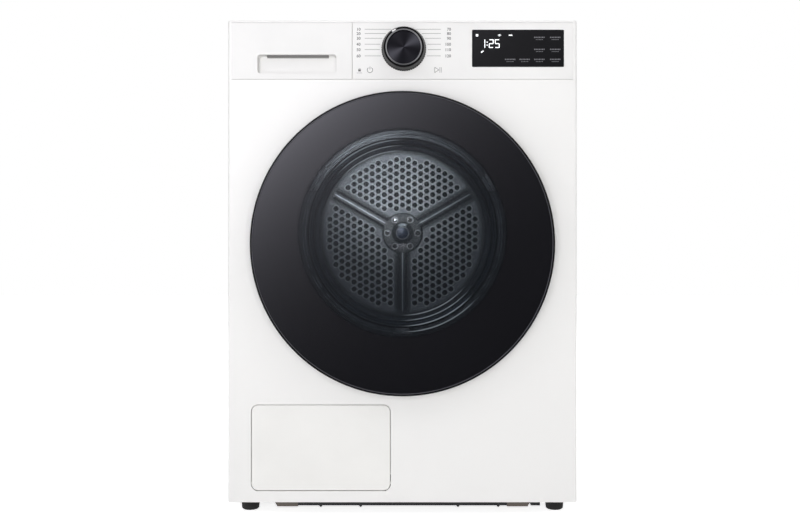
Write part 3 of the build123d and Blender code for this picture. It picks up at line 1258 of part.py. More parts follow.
with BuildPart() as drain_hose:
    hose_start = BASE_FLOOR + PUMP_HEIGHT + PUMP_STUB_HEIGHT
    hose_low = hose_start + HOSE_RISE
    hose_high = TRAY_Z + HOSE_ABOVE_TRAY
    with BuildLine() as hose_run:
        FilletPolyline(
            (PUMP_X, at_depth(PUMP_DEPTH), hose_start),
            (PUMP_X, at_depth(PUMP_DEPTH), hose_low),
            (PUMP_X, at_depth(HOSE_DEPTH), hose_low),
            (HOSE_X, at_depth(HOSE_DEPTH), hose_low),
            (HOSE_X, at_depth(HOSE_DEPTH), hose_high),
            (HOSE_X, at_depth(TRAY_END), hose_high),
            radius=HOSE_BEND,
        )
    with BuildSketch(Plane.XY.offset(hose_start)) as hose_section:
        with Locations((PUMP_X, at_depth(PUMP_DEPTH))):
            Circle(HOSE_R)
            Circle(HOSE_BORE_R, mode=Mode.SUBTRACT)
    sweep(hose_section.sketch, path=hose_run.line)

with BuildPart() as tank_tray:
    tray_depths = (TRAY_START, TRAY_END)
    block((-INNER_HALF, TRAY_RIGHT), tray_depths, (TRAY_Z, TRAY_Z + TRAY_WALL))
    block((-INNER_HALF, -INNER_HALF + TRAY_WALL), tray_depths, (TRAY_Z, TRAY_Z + TRAY_SIDE))
    block((TRAY_RIGHT - TRAY_WALL, TRAY_RIGHT), tray_depths, (TRAY_Z, TRAY_Z + TRAY_SIDE))
    block((-INNER_HALF, TRAY_RIGHT), (TRAY_END - TRAY_WALL, TRAY_END), (TRAY_Z, TRAY_Z + TRAY_BACK))
    ring((HOSE_X, hose_high), 0, HOSE_BORE_R, (TRAY_END - TRAY_WALL, TRAY_END), mode=Mode.SUBTRACT)

with BuildPart() as drain_spigot:
    spigot = (SPIGOT_X, SPIGOT_Z)
    ring(spigot, 0, SPIGOT_R, (CABINET_DEPTH - SPIGOT_INSIDE, REAR_END))
    ring(spigot, 0, SPIGOT_FLANGE_R, (CABINET_DEPTH, CABINET_DEPTH + SPIGOT_FLANGE))
    ring(spigot, 0, SPIGOT_BORE_R, (CABINET_DEPTH - SPIGOT_INSIDE, REAR_END), mode=Mode.SUBTRACT)

with BuildPart() as cord_gland:
    gland = (GLAND_X, GLAND_Z)
    ring(gland, 0, GLAND_R, (REAR_FACE - GLAND_FLANGE, CABINET_DEPTH + GLAND_PROUD))
    ring(gland, 0, GLAND_FLANGE_R, (CABINET_DEPTH, CABINET_DEPTH + GLAND_FLANGE))
    ring(gland, 0, GLAND_BORE_R, (REAR_FACE - GLAND_FLANGE, CABINET_DEPTH + GLAND_PROUD), mode=Mode.SUBTRACT)
    chamfer(cord_gland.faces().sort_by(Axis.Y)[-1].edges().sort_by(SortBy.LENGTH)[-1], GLAND_FLANGE / 2)


# Door

def ear_slots():
    """Cuts the two openings that the hinge ears pass through, in the part that is being built."""
    for ear_side in (-1, 1):
        ear_z = DOOR_Z + ear_side * EAR_OFFSET
        half_slot = EAR_THICK / 2 + EAR_SLOT_GAP
        block(
            (HINGE_PLATE_INNER - KNUCKLE_R, DOOR_R + KNUCKLE_R),
            (HINGE_DEPTH - KNUCKLE_R - EAR_SLOT_GAP, TOUCH),
            (ear_z - half_slot, ear_z + half_slot),
            mode=Mode.SUBTRACT,
        )


with BuildPart() as door_glass:
    crown_r = (GLASS_R**2 + GLASS_CROWN**2) / (2 * GLASS_CROWN)
    half_turn = asin(GLASS_R / crown_r) / 2
    crown_middle = (crown_r * sin(half_turn), crown_r * (1 - cos(half_turn)) - DOOR_PROUD)
    with BuildSketch(Plane(origin=(0, FRONT_Y, DOOR_Z))) as lens:
        with BuildLine():
            ThreePointArc((0, -DOOR_PROUD), crown_middle, (GLASS_R, GLASS_EDGE))
            Line((GLASS_R, GLASS_EDGE), (GLASS_R, GLASS_BACK))
            ThreePointArc(
                (GLASS_R, GLASS_BACK),
                (crown_middle[0], crown_middle[1] + GLASS_THICK),
                (0, GLASS_THICK - DOOR_PROUD),
            )
            Line((0, GLASS_THICK - DOOR_PROUD), (0, -DOOR_PROUD))
        make_face()
    revolve(lens.sketch, axis=Axis((0, FRONT_Y, DOOR_Z), (0, 1, 0)))

with BuildPart() as door_rim:
    seat_r = DOOR_R - RIM_LIP
    ledge_back = GLASS_BACK + RIM_LEDGE_THICK
    taper_start = RIM_FRONT + RIM_STRAIGHT
    turned(
        DOOR_CENTRE,
        (seat_r, RIM_FRONT),
        (DOOR_R - RIM_BEVEL, RIM_FRONT),
        (DOOR_R, RIM_FRONT + RIM_BEVEL),
        (DOOR_R, taper_start),
        (RIM_BACK_R, -DOOR_BACK_GAP),
        (RIM_BACK_R - RIM_WALL, -DOOR_BACK_GAP),
        (DOOR_R - RIM_WALL, ledge_back),
        (seat_r - RIM_LEDGE, ledge_back),
        (seat_r - RIM_LEDGE, GLASS_BACK),
        (seat_r, GLASS_BACK),
    )
    ear_slots()

with BuildPart() as door_back:
    funnel_r = WINDOW_R + BOWL_SEAT
    ring(DOOR_CENTRE, 0, DOOR_BACK_R, (DOOR_BACK_FRONT, -DOOR_BACK_GAP))
    ring(DRUM_CENTRE, 0, funnel_r + FUNNEL_WALL, (GLASS_BACK + RIM_LEDGE_THICK, -DOOR_BACK_GAP))
    ring(DRUM_CENTRE, 0, funnel_r, (GLASS_BACK, -BOWL_SEAT_DEPTH), mode=Mode.SUBTRACT)
    ring(DRUM_CENTRE, 0, WINDOW_R, (-BOWL_SEAT_DEPTH, 0), mode=Mode.SUBTRACT)
    ear_slots()

with BuildPart() as door_bowl:
    flange_r = funnel_r - TOUCH
    flange_front = -BOWL_SEAT_DEPTH - BOWL_GLASS
    bowl_r = WINDOW_R - BOWL_SEAT
    bowl_base_r = bowl_r - BOWL_TAPER
    with BuildSketch(Plane(origin=(0, FRONT_Y, DRUM_Z))) as bowl_section:
        with BuildLine():
            Polyline(
                (bowl_r - BOWL_GLASS, flange_front),
                (flange_r, flange_front),
                (flange_r, -BOWL_SEAT_DEPTH),
                (bowl_r, -BOWL_SEAT_DEPTH),
                (bowl_r, BOWL_STEP_DEPTH),
                (bowl_r - BOWL_STEP, BOWL_STEP_DEPTH),
                (bowl_base_r, BOWL_DEPTH - BOWL_DOME),
                (0, BOWL_DEPTH),
                (0, BOWL_DEPTH - BOWL_GLASS),
                (bowl_base_r - BOWL_GLASS, BOWL_DEPTH - BOWL_DOME - BOWL_GLASS),
                (bowl_r - BOWL_STEP - BOWL_GLASS, BOWL_STEP_DEPTH - BOWL_GLASS),
                (bowl_r - BOWL_GLASS, BOWL_STEP_DEPTH - BOWL_GLASS),
                close=True,
            )
        make_face()
        outer_corner = bowl_section.vertices().sort_by_distance((bowl_base_r, BOWL_DEPTH - BOWL_DOME))[0]
        fillet(outer_corner, BOWL_CORNER)
        inner_corner = bowl_section.vertices().sort_by_distance(
            (bowl_base_r - BOWL_GLASS, BOWL_DEPTH - BOWL_DOME - BOWL_GLASS)
        )[0]
        fillet(inner_corner, BOWL_CORNER - BOWL_GLASS)
    revolve(bowl_section.sketch, axis=Axis((0, FRONT_Y, DRUM_Z), (0, 1, 0)))

with BuildPart() as door_hinge_arm:
    arm_half = EAR_OFFSET - EAR_THICK / 2 - EAR_SLOT_GAP - TOUCH
    with BuildSketch(Plane.XY.offset(DOOR_Z - arm_half)) as arm_outline:
        with Locations((HINGE_X, at_depth(HINGE_DEPTH))):
            Circle(KNUCKLE_R)
        root_y = at_depth(middle((HINGE_DEPTH, DOOR_BACK_FRONT)))
        with Locations((ARM_ROOT_INNER + ARM_ROOT_WIDTH / 2, root_y)):
            Rectangle(ARM_ROOT_WIDTH, DOOR_BACK_FRONT - HINGE_DEPTH)
        make_hull()
        with Locations((HINGE_X, at_depth(HINGE_DEPTH))):
            Circle(HINGE_PIN_R + RUNNING_FIT, mode=Mode.SUBTRACT)
    extrude(arm_outline.sketch, amount=2 * arm_half)

with BuildPart() as hinge_bracket:
    for ear_side in (-1, 1):
        ear_z = DOOR_Z + ear_side * EAR_OFFSET
        with BuildSketch(Plane.XY.offset(ear_z - EAR_THICK / 2)) as ear_outline:
            with Locations((HINGE_X, at_depth(HINGE_DEPTH))):
                Circle(KNUCKLE_R)
            with Locations((HINGE_PLATE_INNER + EAR_ROOT / 2, at_depth(-HINGE_PLATE / 2))):
                Rectangle(EAR_ROOT, HINGE_PLATE)
            make_hull()
        extrude(ear_outline.sketch, amount=EAR_THICK)
    block(
        (HINGE_PLATE_INNER, HINGE_PLATE_INNER + HINGE_PLATE_WIDTH),
        (-HINGE_PLATE, 0),
        (DOOR_Z - HINGE_PLATE_HALF, DOOR_Z + HINGE_PLATE_HALF),
    )
    pin_half = EAR_OFFSET + EAR_THICK / 2
    column(HINGE_X, HINGE_DEPTH, HINGE_PIN_R, (DOOR_Z - pin_half, DOOR_Z + pin_half))

with BuildPart() as door_striker:
    striker_z = (DOOR_Z - STRIKER_HEIGHT / 2, DOOR_Z + STRIKER_HEIGHT / 2)
    with BuildSketch(Plane.XY.offset(striker_z[0])) as hook_outline:
        with BuildLine():
            Polyline(
                (STRIKER_X - STRIKER_WIDTH, at_depth(-DOOR_BACK_GAP)),
                (STRIKER_X + STRIKER_WIDTH, at_depth(-DOOR_BACK_GAP)),
                (STRIKER_X + STRIKER_WIDTH, at_depth(-DOOR_BACK_GAP + STRIKER_FOOT)),
                (STRIKER_X + STRIKER_WIDTH / 2, at_depth(-DOOR_BACK_GAP + STRIKER_FOOT)),
                (STRIKER_X + STRIKER_WIDTH / 2, at_depth(STRIKER_REACH - 2 * STRIKER_HOOK)),
                (STRIKER_X, at_depth(STRIKER_REACH)),
                (STRIKER_X - STRIKER_WIDTH / 2, at_depth(STRIKER_REACH)),
                (STRIKER_X - STRIKER_WIDTH / 2, at_depth(-DOOR_BACK_GAP + STRIKER_FOOT)),
                (STRIKER_X - STRIKER_WIDTH, at_depth(-DOOR_BACK_GAP + STRIKER_FOOT)),
                close=True,
            )
        make_face()
    extrude(hook_outline.sketch, amount=STRIKER_HEIGHT)
    block(
        (STRIKER_X, STRIKER_X + STRIKER_WIDTH / 2),
        (STRIKER_REACH - 4 * STRIKER_HOOK, STRIKER_REACH - 2 * STRIKER_HOOK),
        (striker_z[0] + STRIKER_HEIGHT / 4, striker_z[1] - STRIKER_HEIGHT / 4),
        mode=Mode.SUBTRACT,
    )

with BuildPart() as door_latch:
    latch_x = (STRIKER_X - LATCH_SLOT_LEFT - LATCH_WALL, STRIKER_X + LATCH_SLOT_RIGHT + LATCH_WALL)
    latch_z = (DOOR_Z - LATCH_HALF_HEIGHT, DOOR_Z + LATCH_HALF_HEIGHT)
    block(latch_x, (SHEET, LATCH_DEPTH), latch_z)
    block(
        (latch_x[0] + LATCH_WALL, latch_x[1] - LATCH_WALL),
        (SHEET, LATCH_DEPTH - LATCH_WALL),
        (latch_z[0] + 2 * LATCH_WALL, latch_z[1] - 2 * LATCH_WALL),
        mode=Mode.SUBTRACT,
    )


# Control panel

with BuildPart() as control_fascia:
    fascia_x = (DRAWER_SEAM_X + SEAM / 2, FRONT_HALF)
    fascia_z = (FASCIA_BOTTOM, FASCIA_TOP)
    block(fascia_x, (0, CROSSBAR_DEPTH), fascia_z)
    block(
        (fascia_x[0] + FASCIA_RIM, fascia_x[1] - FASCIA_RIM),
        (FASCIA_WALL, CROSSBAR_DEPTH),
        (fascia_z[0] + FASCIA_RIM, fascia_z[1] - FASCIA_RIM),
        mode=Mode.SUBTRACT,
    )
    block(
        (DISPLAY_X - DISPLAY_WIDTH / 2 - DISPLAY_LEDGE, DISPLAY_X + DISPLAY_WIDTH / 2 + DISPLAY_LEDGE),
        (FASCIA_WALL, DISPLAY_THICK + FASCIA_WALL),
        (DISPLAY_Z - DISPLAY_HEIGHT / 2 - DISPLAY_LEDGE, DISPLAY_Z + DISPLAY_HEIGHT / 2 + DISPLAY_LEDGE),
    )
    with BuildSketch(face_plane(0)) as glass_pocket:
        with Locations((DISPLAY_X, DISPLAY_Z)):
            RectangleRounded(DISPLAY_WIDTH + SEAM / 2, DISPLAY_HEIGHT + SEAM / 2, DISPLAY_CORNER)
    extrude(glass_pocket.sketch, amount=-DISPLAY_THICK, mode=Mode.SUBTRACT)
    with BuildSketch(face_plane(0)) as glass_window:
        with Locations((DISPLAY_X, DISPLAY_Z)):
            Rectangle(DISPLAY_WIDTH - 2 * DISPLAY_LEDGE, DISPLAY_HEIGHT - 2 * DISPLAY_LEDGE)
    extrude(glass_window.sketch, amount=-CROSSBAR_DEPTH, mode=Mode.SUBTRACT)
    ring((KNOB_X, KNOB_Z), 0, KNOB_HOLE_R, (0, FASCIA_WALL), mode=Mode.SUBTRACT)
    outer_edges = control_fascia.faces().sort_by(Axis.Y)[0].outer_wire().edges()
    fillet(outer_edges, SEAM)

with BuildPart() as display_window:
    with BuildSketch(face_plane(0)) as glass_outline:
        with Locations((DISPLAY_X, DISPLAY_Z)):
            RectangleRounded(DISPLAY_WIDTH, DISPLAY_HEIGHT, DISPLAY_CORNER - SEAM / 4)
    extrude(glass_outline.sketch, amount=-DISPLAY_THICK)
    fillet(display_window.faces().sort_by(Axis.Y)[0].edges(), SEAM / 2)

with BuildPart() as control_board:
    board_x = (fascia_x[0] + BOARD_MARGIN, fascia_x[1] - BOARD_MARGIN)
    board_z = (fascia_z[0] + BOARD_MARGIN, fascia_z[1] - BOARD_MARGIN)
    block(board_x, (BOARD_DEPTH, BOARD_DEPTH + BOARD_THICK), board_z)
    block(
        (KNOB_X - ENCODER_HALF, KNOB_X + ENCODER_HALF),
        (KNOB_SHAFT_LENGTH / 2, BOARD_DEPTH),
        (KNOB_Z - ENCODER_HALF, KNOB_Z + ENCODER_HALF),
    )
    ring(
        (KNOB_X, KNOB_Z),
        0,
        KNOB_SHAFT_R + RUNNING_FIT,
        (KNOB_SHAFT_LENGTH / 2, KNOB_SHAFT_LENGTH + TOUCH),
        mode=Mode.SUBTRACT,
    )
    screen_half = DISPLAY_WIDTH / 2 - 2 * DISPLAY_LEDGE
    block(
        (DISPLAY_X - screen_half, DISPLAY_X + screen_half),
        (DISPLAY_THICK + FASCIA_WALL, BOARD_DEPTH),
        (DISPLAY_Z - DISPLAY_HEIGHT / 4, DISPLAY_Z + DISPLAY_HEIGHT / 4),
    )
    for post_x in (board_x[0] + BOARD_MARGIN, board_x[1] - BOARD_MARGIN):
        ring((post_x, middle(board_z)), 0, BOARD_POST_R, (BOARD_DEPTH, CROSSBAR_DEPTH))

with BuildPart() as front_crossbar:
    crossbar_z = (FRONT_TOP - 2 * CROSSBAR_SHEET, SIDE_TOP - TOP_RIM_DROP)
    tank_gap_x = (TANK_LEFT - TANK_SIDE_GAP, TANK_RIGHT + TANK_SIDE_GAP)
    block((-INNER_HALF, INNER_HALF), (CROSSBAR_DEPTH, CROSSBAR_DEPTH + CROSSBAR_SHEET), crossbar_z)
    block(
        (-INNER_HALF, INNER_HALF),
        (CROSSBAR_DEPTH, BULKHEAD_DEPTH),
        (crossbar_z[0], crossbar_z[0] + CROSSBAR_SHEET),
    )
    block(
        tank_gap_x,
        (CROSSBAR_DEPTH, CROSSBAR_DEPTH + CROSSBAR_SHEET),
        (TRAY_Z, TANK_TOP + TANK_SIDE_GAP),
        mode=Mode.SUBTRACT,
    )

with BuildPart() as knob_body:
    knob_front = KNOB_GAP - KNOB_HEIGHT
    turned(
        (KNOB_X, KNOB_Z),
        (0, -KNOB_GAP),
        (KNOB_R, -KNOB_GAP),
        (KNOB_R, -2 * KNOB_GAP),
        (KNOB_FACE_R, knob_front),
        (KNOB_RING_R + TOUCH, knob_front),
        (KNOB_RING_R + TOUCH, knob_front + 2 * KNOB_RING_PROUD),
        (0, knob_front + 2 * KNOB_RING_PROUD),
    )
    with BuildSketch(face_plane(-KNOB_GAP)) as flutes:
        with Locations((KNOB_X, KNOB_Z)):
            with PolarLocations(KNOB_R, KNOB_FLUTES):
                Circle(KNOB_FLUTE_R)
    extrude(flutes.sketch, amount=KNOB_HEIGHT / 2, mode=Mode.SUBTRACT)
    ring((KNOB_X, KNOB_Z), 0, KNOB_SHAFT_R, (-KNOB_GAP, KNOB_SHAFT_LENGTH))

with BuildPart() as knob_ring:
    ring_seat = knob_front + 2 * KNOB_RING_PROUD
    turned(
        (KNOB_X, KNOB_Z),
        (KNOB_RING_R - KNOB_RING_WIDTH, ring_seat),
        (KNOB_RING_R, ring_seat),
        (KNOB_RING_R, knob_front),
        (KNOB_RING_R - KNOB_RING_WIDTH / 2, knob_front - KNOB_RING_PROUD),
        (KNOB_RING_R - KNOB_RING_WIDTH, knob_front),
    )

with BuildPart() as knob_cap:
    cap_r = KNOB_RING_R - KNOB_RING_WIDTH - TOUCH
    turned(
        (KNOB_X, KNOB_Z),
        (0, ring_seat),
        (cap_r, ring_seat),
        (cap_r, knob_front),
        (cap_r - KNOB_CAP_DISH, knob_front),
        (0, ring_seat - KNOB_CAP_DISH / 3),
    )


# Water drawer

with BuildPart() as tank_front:
    drawer_x = (-FRONT_HALF, DRAWER_SEAM_X - SEAM / 2)
    drawer_z = (FASCIA_BOTTOM, FASCIA_TOP)
    block(drawer_x, (0, TANK_START - GRIP_WALL), drawer_z)
    block(
        (drawer_x[0] + FASCIA_RIM, drawer_x[1] - FASCIA_RIM),
        (FASCIA_WALL, TANK_START),
        (drawer_z[0] + FASCIA_RIM, drawer_z[1] - FASCIA_RIM),
        mode=Mode.SUBTRACT,
    )
    grip_x = (GRIP_X - GRIP_WIDTH / 2, GRIP_X + GRIP_WIDTH / 2)
    grip_z = (GRIP_Z - GRIP_HEIGHT / 2, GRIP_Z + GRIP_HEIGHT / 2)
    block(
        (grip_x[0] - GRIP_WALL, grip_x[1] + GRIP_WALL),
        (FASCIA_WALL, TANK_START),
        (grip_z[0] - GRIP_WALL, grip_z[1] + GRIP_UNDERCUT + GRIP_WALL),
    )
    with BuildSketch(face_plane(0)) as grip_mouth:
        with Locations((GRIP_X, GRIP_Z)):
            RectangleRounded(GRIP_WIDTH, GRIP_HEIGHT, GRIP_CORNER)
    extrude(grip_mouth.sketch, amount=-GRIP_DEPTH, mode=Mode.SUBTRACT)
    grip_floor = tank_front.faces().filter_by(Axis.Y).sort_by_distance((GRIP_X, at_depth(GRIP_DEPTH), GRIP_Z))[0]
    fillet(grip_floor.edges(), GRIP_FLOOR_R)
    block(
        (GRIP_X - GRIP_UNDERCUT_WIDTH / 2, GRIP_X + GRIP_UNDERCUT_WIDTH / 2),
        (FASCIA_WALL + GRIP_LIP, GRIP_DEPTH),
        (grip_z[0] + GRIP_CORNER, grip_z[1] + GRIP_UNDERCUT),
        mode=Mode.SUBTRACT,
    )
    drawer_edges = tank_front.faces().sort_by(Axis.Y)[0].outer_wire().edges()
    fillet(drawer_edges, SEAM)

with BuildPart() as water_tank:
    tank_x = (TANK_LEFT, TANK_RIGHT)
    block(tank_x, (TANK_START, TANK_END), (TANK_BOTTOM, TANK_TOP))
    fillet(water_tank.edges().filter_by(Axis.Y), TANK_CORNER)
    block(
        (tank_x[0] + TANK_WALL, tank_x[1] - TANK_WALL),
        (TANK_START + TANK_WALL, TANK_END - TANK_WALL),
        (TANK_BOTTOM + TANK_WALL, TANK_TOP - TANK_WALL),
        mode=Mode.SUBTRACT,
    )
    filler_end = TANK_END - TANK_FILLER_LENGTH / 2
    block(
        (middle(tank_x) - TANK_FILLER_WIDTH / 2, middle(tank_x) + TANK_FILLER_WIDTH / 2),
        (filler_end - TANK_FILLER_LENGTH, filler_end),
        (TANK_TOP - 2 * TANK_WALL, TANK_TOP),
        mode=Mode.SUBTRACT,
    )


# Service flap

with BuildPart() as service_flap:
    with BuildSketch(face_plane(0)) as flap_outline:
        with Locations((FLAP_X, FLAP_Z)):
            RectangleRounded(FLAP_WIDTH, FLAP_HEIGHT, FLAP_CORNER)
    extrude(flap_outline.sketch, amount=-FLAP_THICK)
    fillet(service_flap.faces().sort_by(Axis.Y)[0].edges(), FLAP_EDGE_R)
    with BuildSketch(face_plane(FLAP_WALL)) as flap_hollow:
        with Locations((FLAP_X, FLAP_Z + FLAP_BAR / 2)):
            RectangleRounded(
                FLAP_WIDTH - 2 * FLAP_WALL,
                FLAP_HEIGHT - 2 * FLAP_WALL - FLAP_BAR,
                FLAP_CORNER - FLAP_WALL,
            )
    extrude(flap_hollow.sketch, amount=-FLAP_THICK, mode=Mode.SUBTRACT)
    with BuildSketch(face_plane(FLAP_WALL)) as flap_ribs:
        with Locations((FLAP_X, FLAP_Z)):
            with GridLocations(FLAP_WIDTH / (FLAP_RIB_COUNT + 1), 0, FLAP_RIB_COUNT, 1):
                Rectangle(FLAP_WALL, FLAP_HEIGHT - 2 * FLAP_WALL)
    extrude(flap_ribs.sketch, amount=-FLAP_THICK / 2)
    pin_length = FLAP_WIDTH + 2 * (FLAP_PIN_REACH - FLAP_GAP)
    with Locations(Location((FLAP_X, at_depth(FLAP_AXIS_DEPTH), FLAP_AXIS_Z), (0, 90, 0))):
        Cylinder(FLAP_PIN_R, pin_length)


PIECES = {
    "side_panel_left": side_panel(-1),
    "side_panel_right": side_panel(1),
    "rear_panel": rear_panel.part,
    "top_panel": top_panel.part,
    "front_panel": front_panel.part,
    "base_tray": base_tray.part,
    "base_skids": base_skids.part,
    "front_bulkhead": front_bulkhead.part,
    "door_seal": door_seal.part,
    "drum_felt_rings": drum_felt_rings.part,
    "front_air_duct": front_air_duct.part,
    "lint_filter": lint_filter.part,
    "drum_lamp": drum_lamp.part,
    "moisture_sensor_bars": moisture_sensor_bars.part,
    "drum_shell": drum_shell.part,
    "drum_back": drum_back.part,
    "drum_hub": drum_hub.part,
    "drum_spider": drum_spider.part,
    "drum_lifters": drum_lifters.part,
    "shaft_bearing": shaft_bearing.part,
    "roller_left": roller(-1),
    "roller_right": roller(1),
    "drive_belt": drive_belt.part,
    "idler_bracket": idler_bracket.part,
    "idler_pulley": idler_pulley.part,
    "motor_housing": motor_housing.part,
    "motor_rotor": motor_rotor.part,
    "blower_wheel": blower_wheel.part,
    "blower_housing": blower_housing.part,
    "rear_duct": rear_duct.part,
    "compressor": compressor_part,
    "refrigerant_circuit": refrigerant_circuit.part,
    "heat_exchanger_cover": heat_exchanger_cover.part,
    "condensate_pump": condensate_pump.part,
    "drain_hose": drain_hose.part,
    "tank_tray": tank_tray.part,
    "drain_spigot": drain_spigot.part,
    "cord_gland": cord_gland.part,
    "door_glass": door_glass.part,
    "door_rim": door_rim.part,
    "door_back": door_back.part,
    "door_bowl": door_bowl.part,
    "door_hinge_arm": door_hinge_arm.part,
    "hinge_bracket": hinge_bracket.part,
    "door_striker": door_striker.part,
    "door_latch": door_latch.part,
    "control_fascia": control_fascia.part,
    "display_window": display_window.part,
    "control_board": control_board.part,
    "front_crossbar": front_crossbar.part,
    "knob_body": knob_body.part,
    "knob_ring": knob_ring.part,
    "knob_cap": knob_cap.part,
    "tank_front": tank_front.part,
    "water_tank": water_tank.part,
    "service_flap": service_flap.part,
}
for foot_end, foot_depth in FOOT_DEPTHS.items():
    PIECES[f"foot_{foot_end}_left"] = foot(-1, foot_depth)
    PIECES[f"foot_{foot_end}_right"] = foot(1, foot_depth)

os.makedirs("parts", exist_ok=True)
for piece_name, piece in PIECES.items():
    piece.label = piece_name
    export_step(piece, f"parts/{piece_name}.step")
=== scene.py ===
"""Looks of a front-loading clothes dryer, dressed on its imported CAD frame."""
import json
import logging
import math
from collections.abc import Sequence
from dataclasses import dataclass
from enum import Enum
from typing import Any, ClassVar

import bmesh
import bpy
from mathutils import Matrix, Vector


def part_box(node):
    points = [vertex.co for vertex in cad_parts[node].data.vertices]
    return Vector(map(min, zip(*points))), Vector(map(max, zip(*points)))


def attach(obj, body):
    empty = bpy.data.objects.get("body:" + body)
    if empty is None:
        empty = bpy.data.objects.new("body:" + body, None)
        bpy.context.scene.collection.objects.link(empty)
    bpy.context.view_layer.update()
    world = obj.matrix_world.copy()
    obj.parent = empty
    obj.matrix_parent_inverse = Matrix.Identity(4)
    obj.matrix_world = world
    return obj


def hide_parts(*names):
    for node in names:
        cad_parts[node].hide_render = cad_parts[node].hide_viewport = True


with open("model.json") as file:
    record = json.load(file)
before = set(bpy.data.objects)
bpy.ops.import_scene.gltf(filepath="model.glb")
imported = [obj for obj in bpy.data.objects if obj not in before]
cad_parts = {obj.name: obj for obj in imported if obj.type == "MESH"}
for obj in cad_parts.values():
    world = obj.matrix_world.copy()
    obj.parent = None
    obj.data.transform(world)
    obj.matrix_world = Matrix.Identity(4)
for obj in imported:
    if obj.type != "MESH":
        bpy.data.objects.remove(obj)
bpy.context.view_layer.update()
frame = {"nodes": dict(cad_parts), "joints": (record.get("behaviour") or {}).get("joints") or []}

LOG = logging.getLogger("dryer")
MM = 0.001
TINY = 1e-9
FAR = 1.0
FULL_TURN = 2 * math.pi
FORWARD = Vector((0, -1, 0))
BACKWARD = Vector((0, 1, 0))
WHITE = (1.0, 1.0, 1.0)
Colour = tuple[float, float, float]
Point = tuple[float, float, float]
Pair = tuple[float, float]
Spots = list[tuple[Vector, Vector]]
JOINTS = {joint["name"]: joint for joint in frame["joints"]}


def joint_place(name: str) -> Vector:
    """Where a joint's axis passes, in the frame.

    Args:
        name: The joint's name in the record.

    Returns:
        A point on the axis, in metres.
    """
    return Vector(JOINTS[name]["pos_m"])


FRONT_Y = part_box("front_panel")[0].y
REAR_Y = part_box("side_panel_left")[1].y
DRUM_AXIS = joint_place("drum_spin")
KNOB_AXIS = joint_place("knob_turn")
SPOKES_DEG = (30.0, 150.0, 270.0)


class Body(Enum):
    """The bodies that new pieces ride on."""

    CABINET = "cabinet"
    DOOR = "door"
    DRUM = "drum"
    KNOB = "knob"
    DRAWER = "drawer"


class Grain(Enum):
    """The direction in which a brushed metal's lines run, as a stretch of its noise."""

    ALONG_X = (1.0, 40.0, 40.0)
    ALONG_Y = (40.0, 1.0, 40.0)
    ALONG_Z = (40.0, 40.0, 1.0)


@dataclass(frozen=True)
class Noise:
    """Noise on a surface: features per metre, octaves of finer noise and the run of a grain."""

    scale: float
    detail: float = 2.0
    grain: Grain | None = None


def brushing(grain: Grain) -> Noise:
    """The fine lines of brushed metal."""
    return Noise(22.0, 3.0, grain)


def shade(colour: Colour, factor: float) -> Colour:
    """A colour made darker or lighter by a factor."""
    return tuple(min(1.0, part * factor) for part in colour)


def on_circle(middle: Sequence[float], radius: float, angle: float) -> Pair:
    """The (x, z) point of a circle at an angle in radians."""
    return middle[0] + radius * math.cos(angle), middle[1] + radius * math.sin(angle)


# Node kit


class Wire:
    """A node's output that takes part in Python expressions."""

    def __init__(self, graph: "Graph", socket: bpy.types.NodeSocket) -> None:
        """Keeps the socket with the graph that it belongs to."""
        self.graph = graph
        self.socket = socket

    def beside(self, out: Any) -> "Wire":
        """Another output of the same node."""
        return Wire(self.graph, self.socket.node.outputs[out])

    def __add__(self, other: Any) -> "Wire":
        """self + other."""
        return self.graph.math("ADD", self, other)

    def __radd__(self, other: Any) -> "Wire":
        """other + self."""
        return self.graph.math("ADD", other, self)

    def __sub__(self, other: Any) -> "Wire":
        """self - other."""
        return self.graph.math("SUBTRACT", self, other)

    def __rsub__(self, other: Any) -> "Wire":
        """other - self."""
        return self.graph.math("SUBTRACT", other, self)

    def __mul__(self, other: Any) -> "Wire":
        """self * other."""
        return self.graph.math("MULTIPLY", self, other)

    def __rmul__(self, other: Any) -> "Wire":
        """other * self."""
        return self.graph.math("MULTIPLY", other, self)

    def __pow__(self, other: Any) -> "Wire":
        """self ** other."""
        return self.graph.math("POWER", self, other)

    def __rpow__(self, other: Any) -> "Wire":
        """other ** self."""
        return self.graph.math("POWER", other, self)


class Graph:
    """A node tree while it is being written."""

    def __init__(self, tree: bpy.types.NodeTree) -> None:
        """Starts with the tree emptied."""
        self.tree = tree
        tree.nodes.clear()

    def node(
        self,
        kind: str,
        settings: dict[str, Any] | None = None,
        inputs: dict[Any, Any] | None = None,
        out: Any = 0,
    ) -> Wire:
        """Adds any node.

        Args:
            kind: The node's type name.
            settings: Properties that are set first.
            inputs: Values or wires by socket name or index.
            out: The output socket that is wanted.

        Returns:
            That output as a wire.
        """
        made = self.tree.nodes.new(kind)
        for key, value in (settings or {}).items():
            setattr(made, key, value)
        for key, value in (inputs or {}).items():
            socket = made.inputs[key]
            if isinstance(value, Wire):
                self.tree.links.new(value.socket, socket)
            elif socket.type == "RGBA" and len(value) == 3:
                socket.default_value = (*value, 1.0)
            else:
                socket.default_value = value
        return Wire(self, made.outputs[out])

    def math(self, operation: str, left: Any, right: Any = 0.0) -> Wire:
        """One Math node by the name of its operation."""
        return self.node("ShaderNodeMath", {"operation": operation}, {0: left, 1: right})


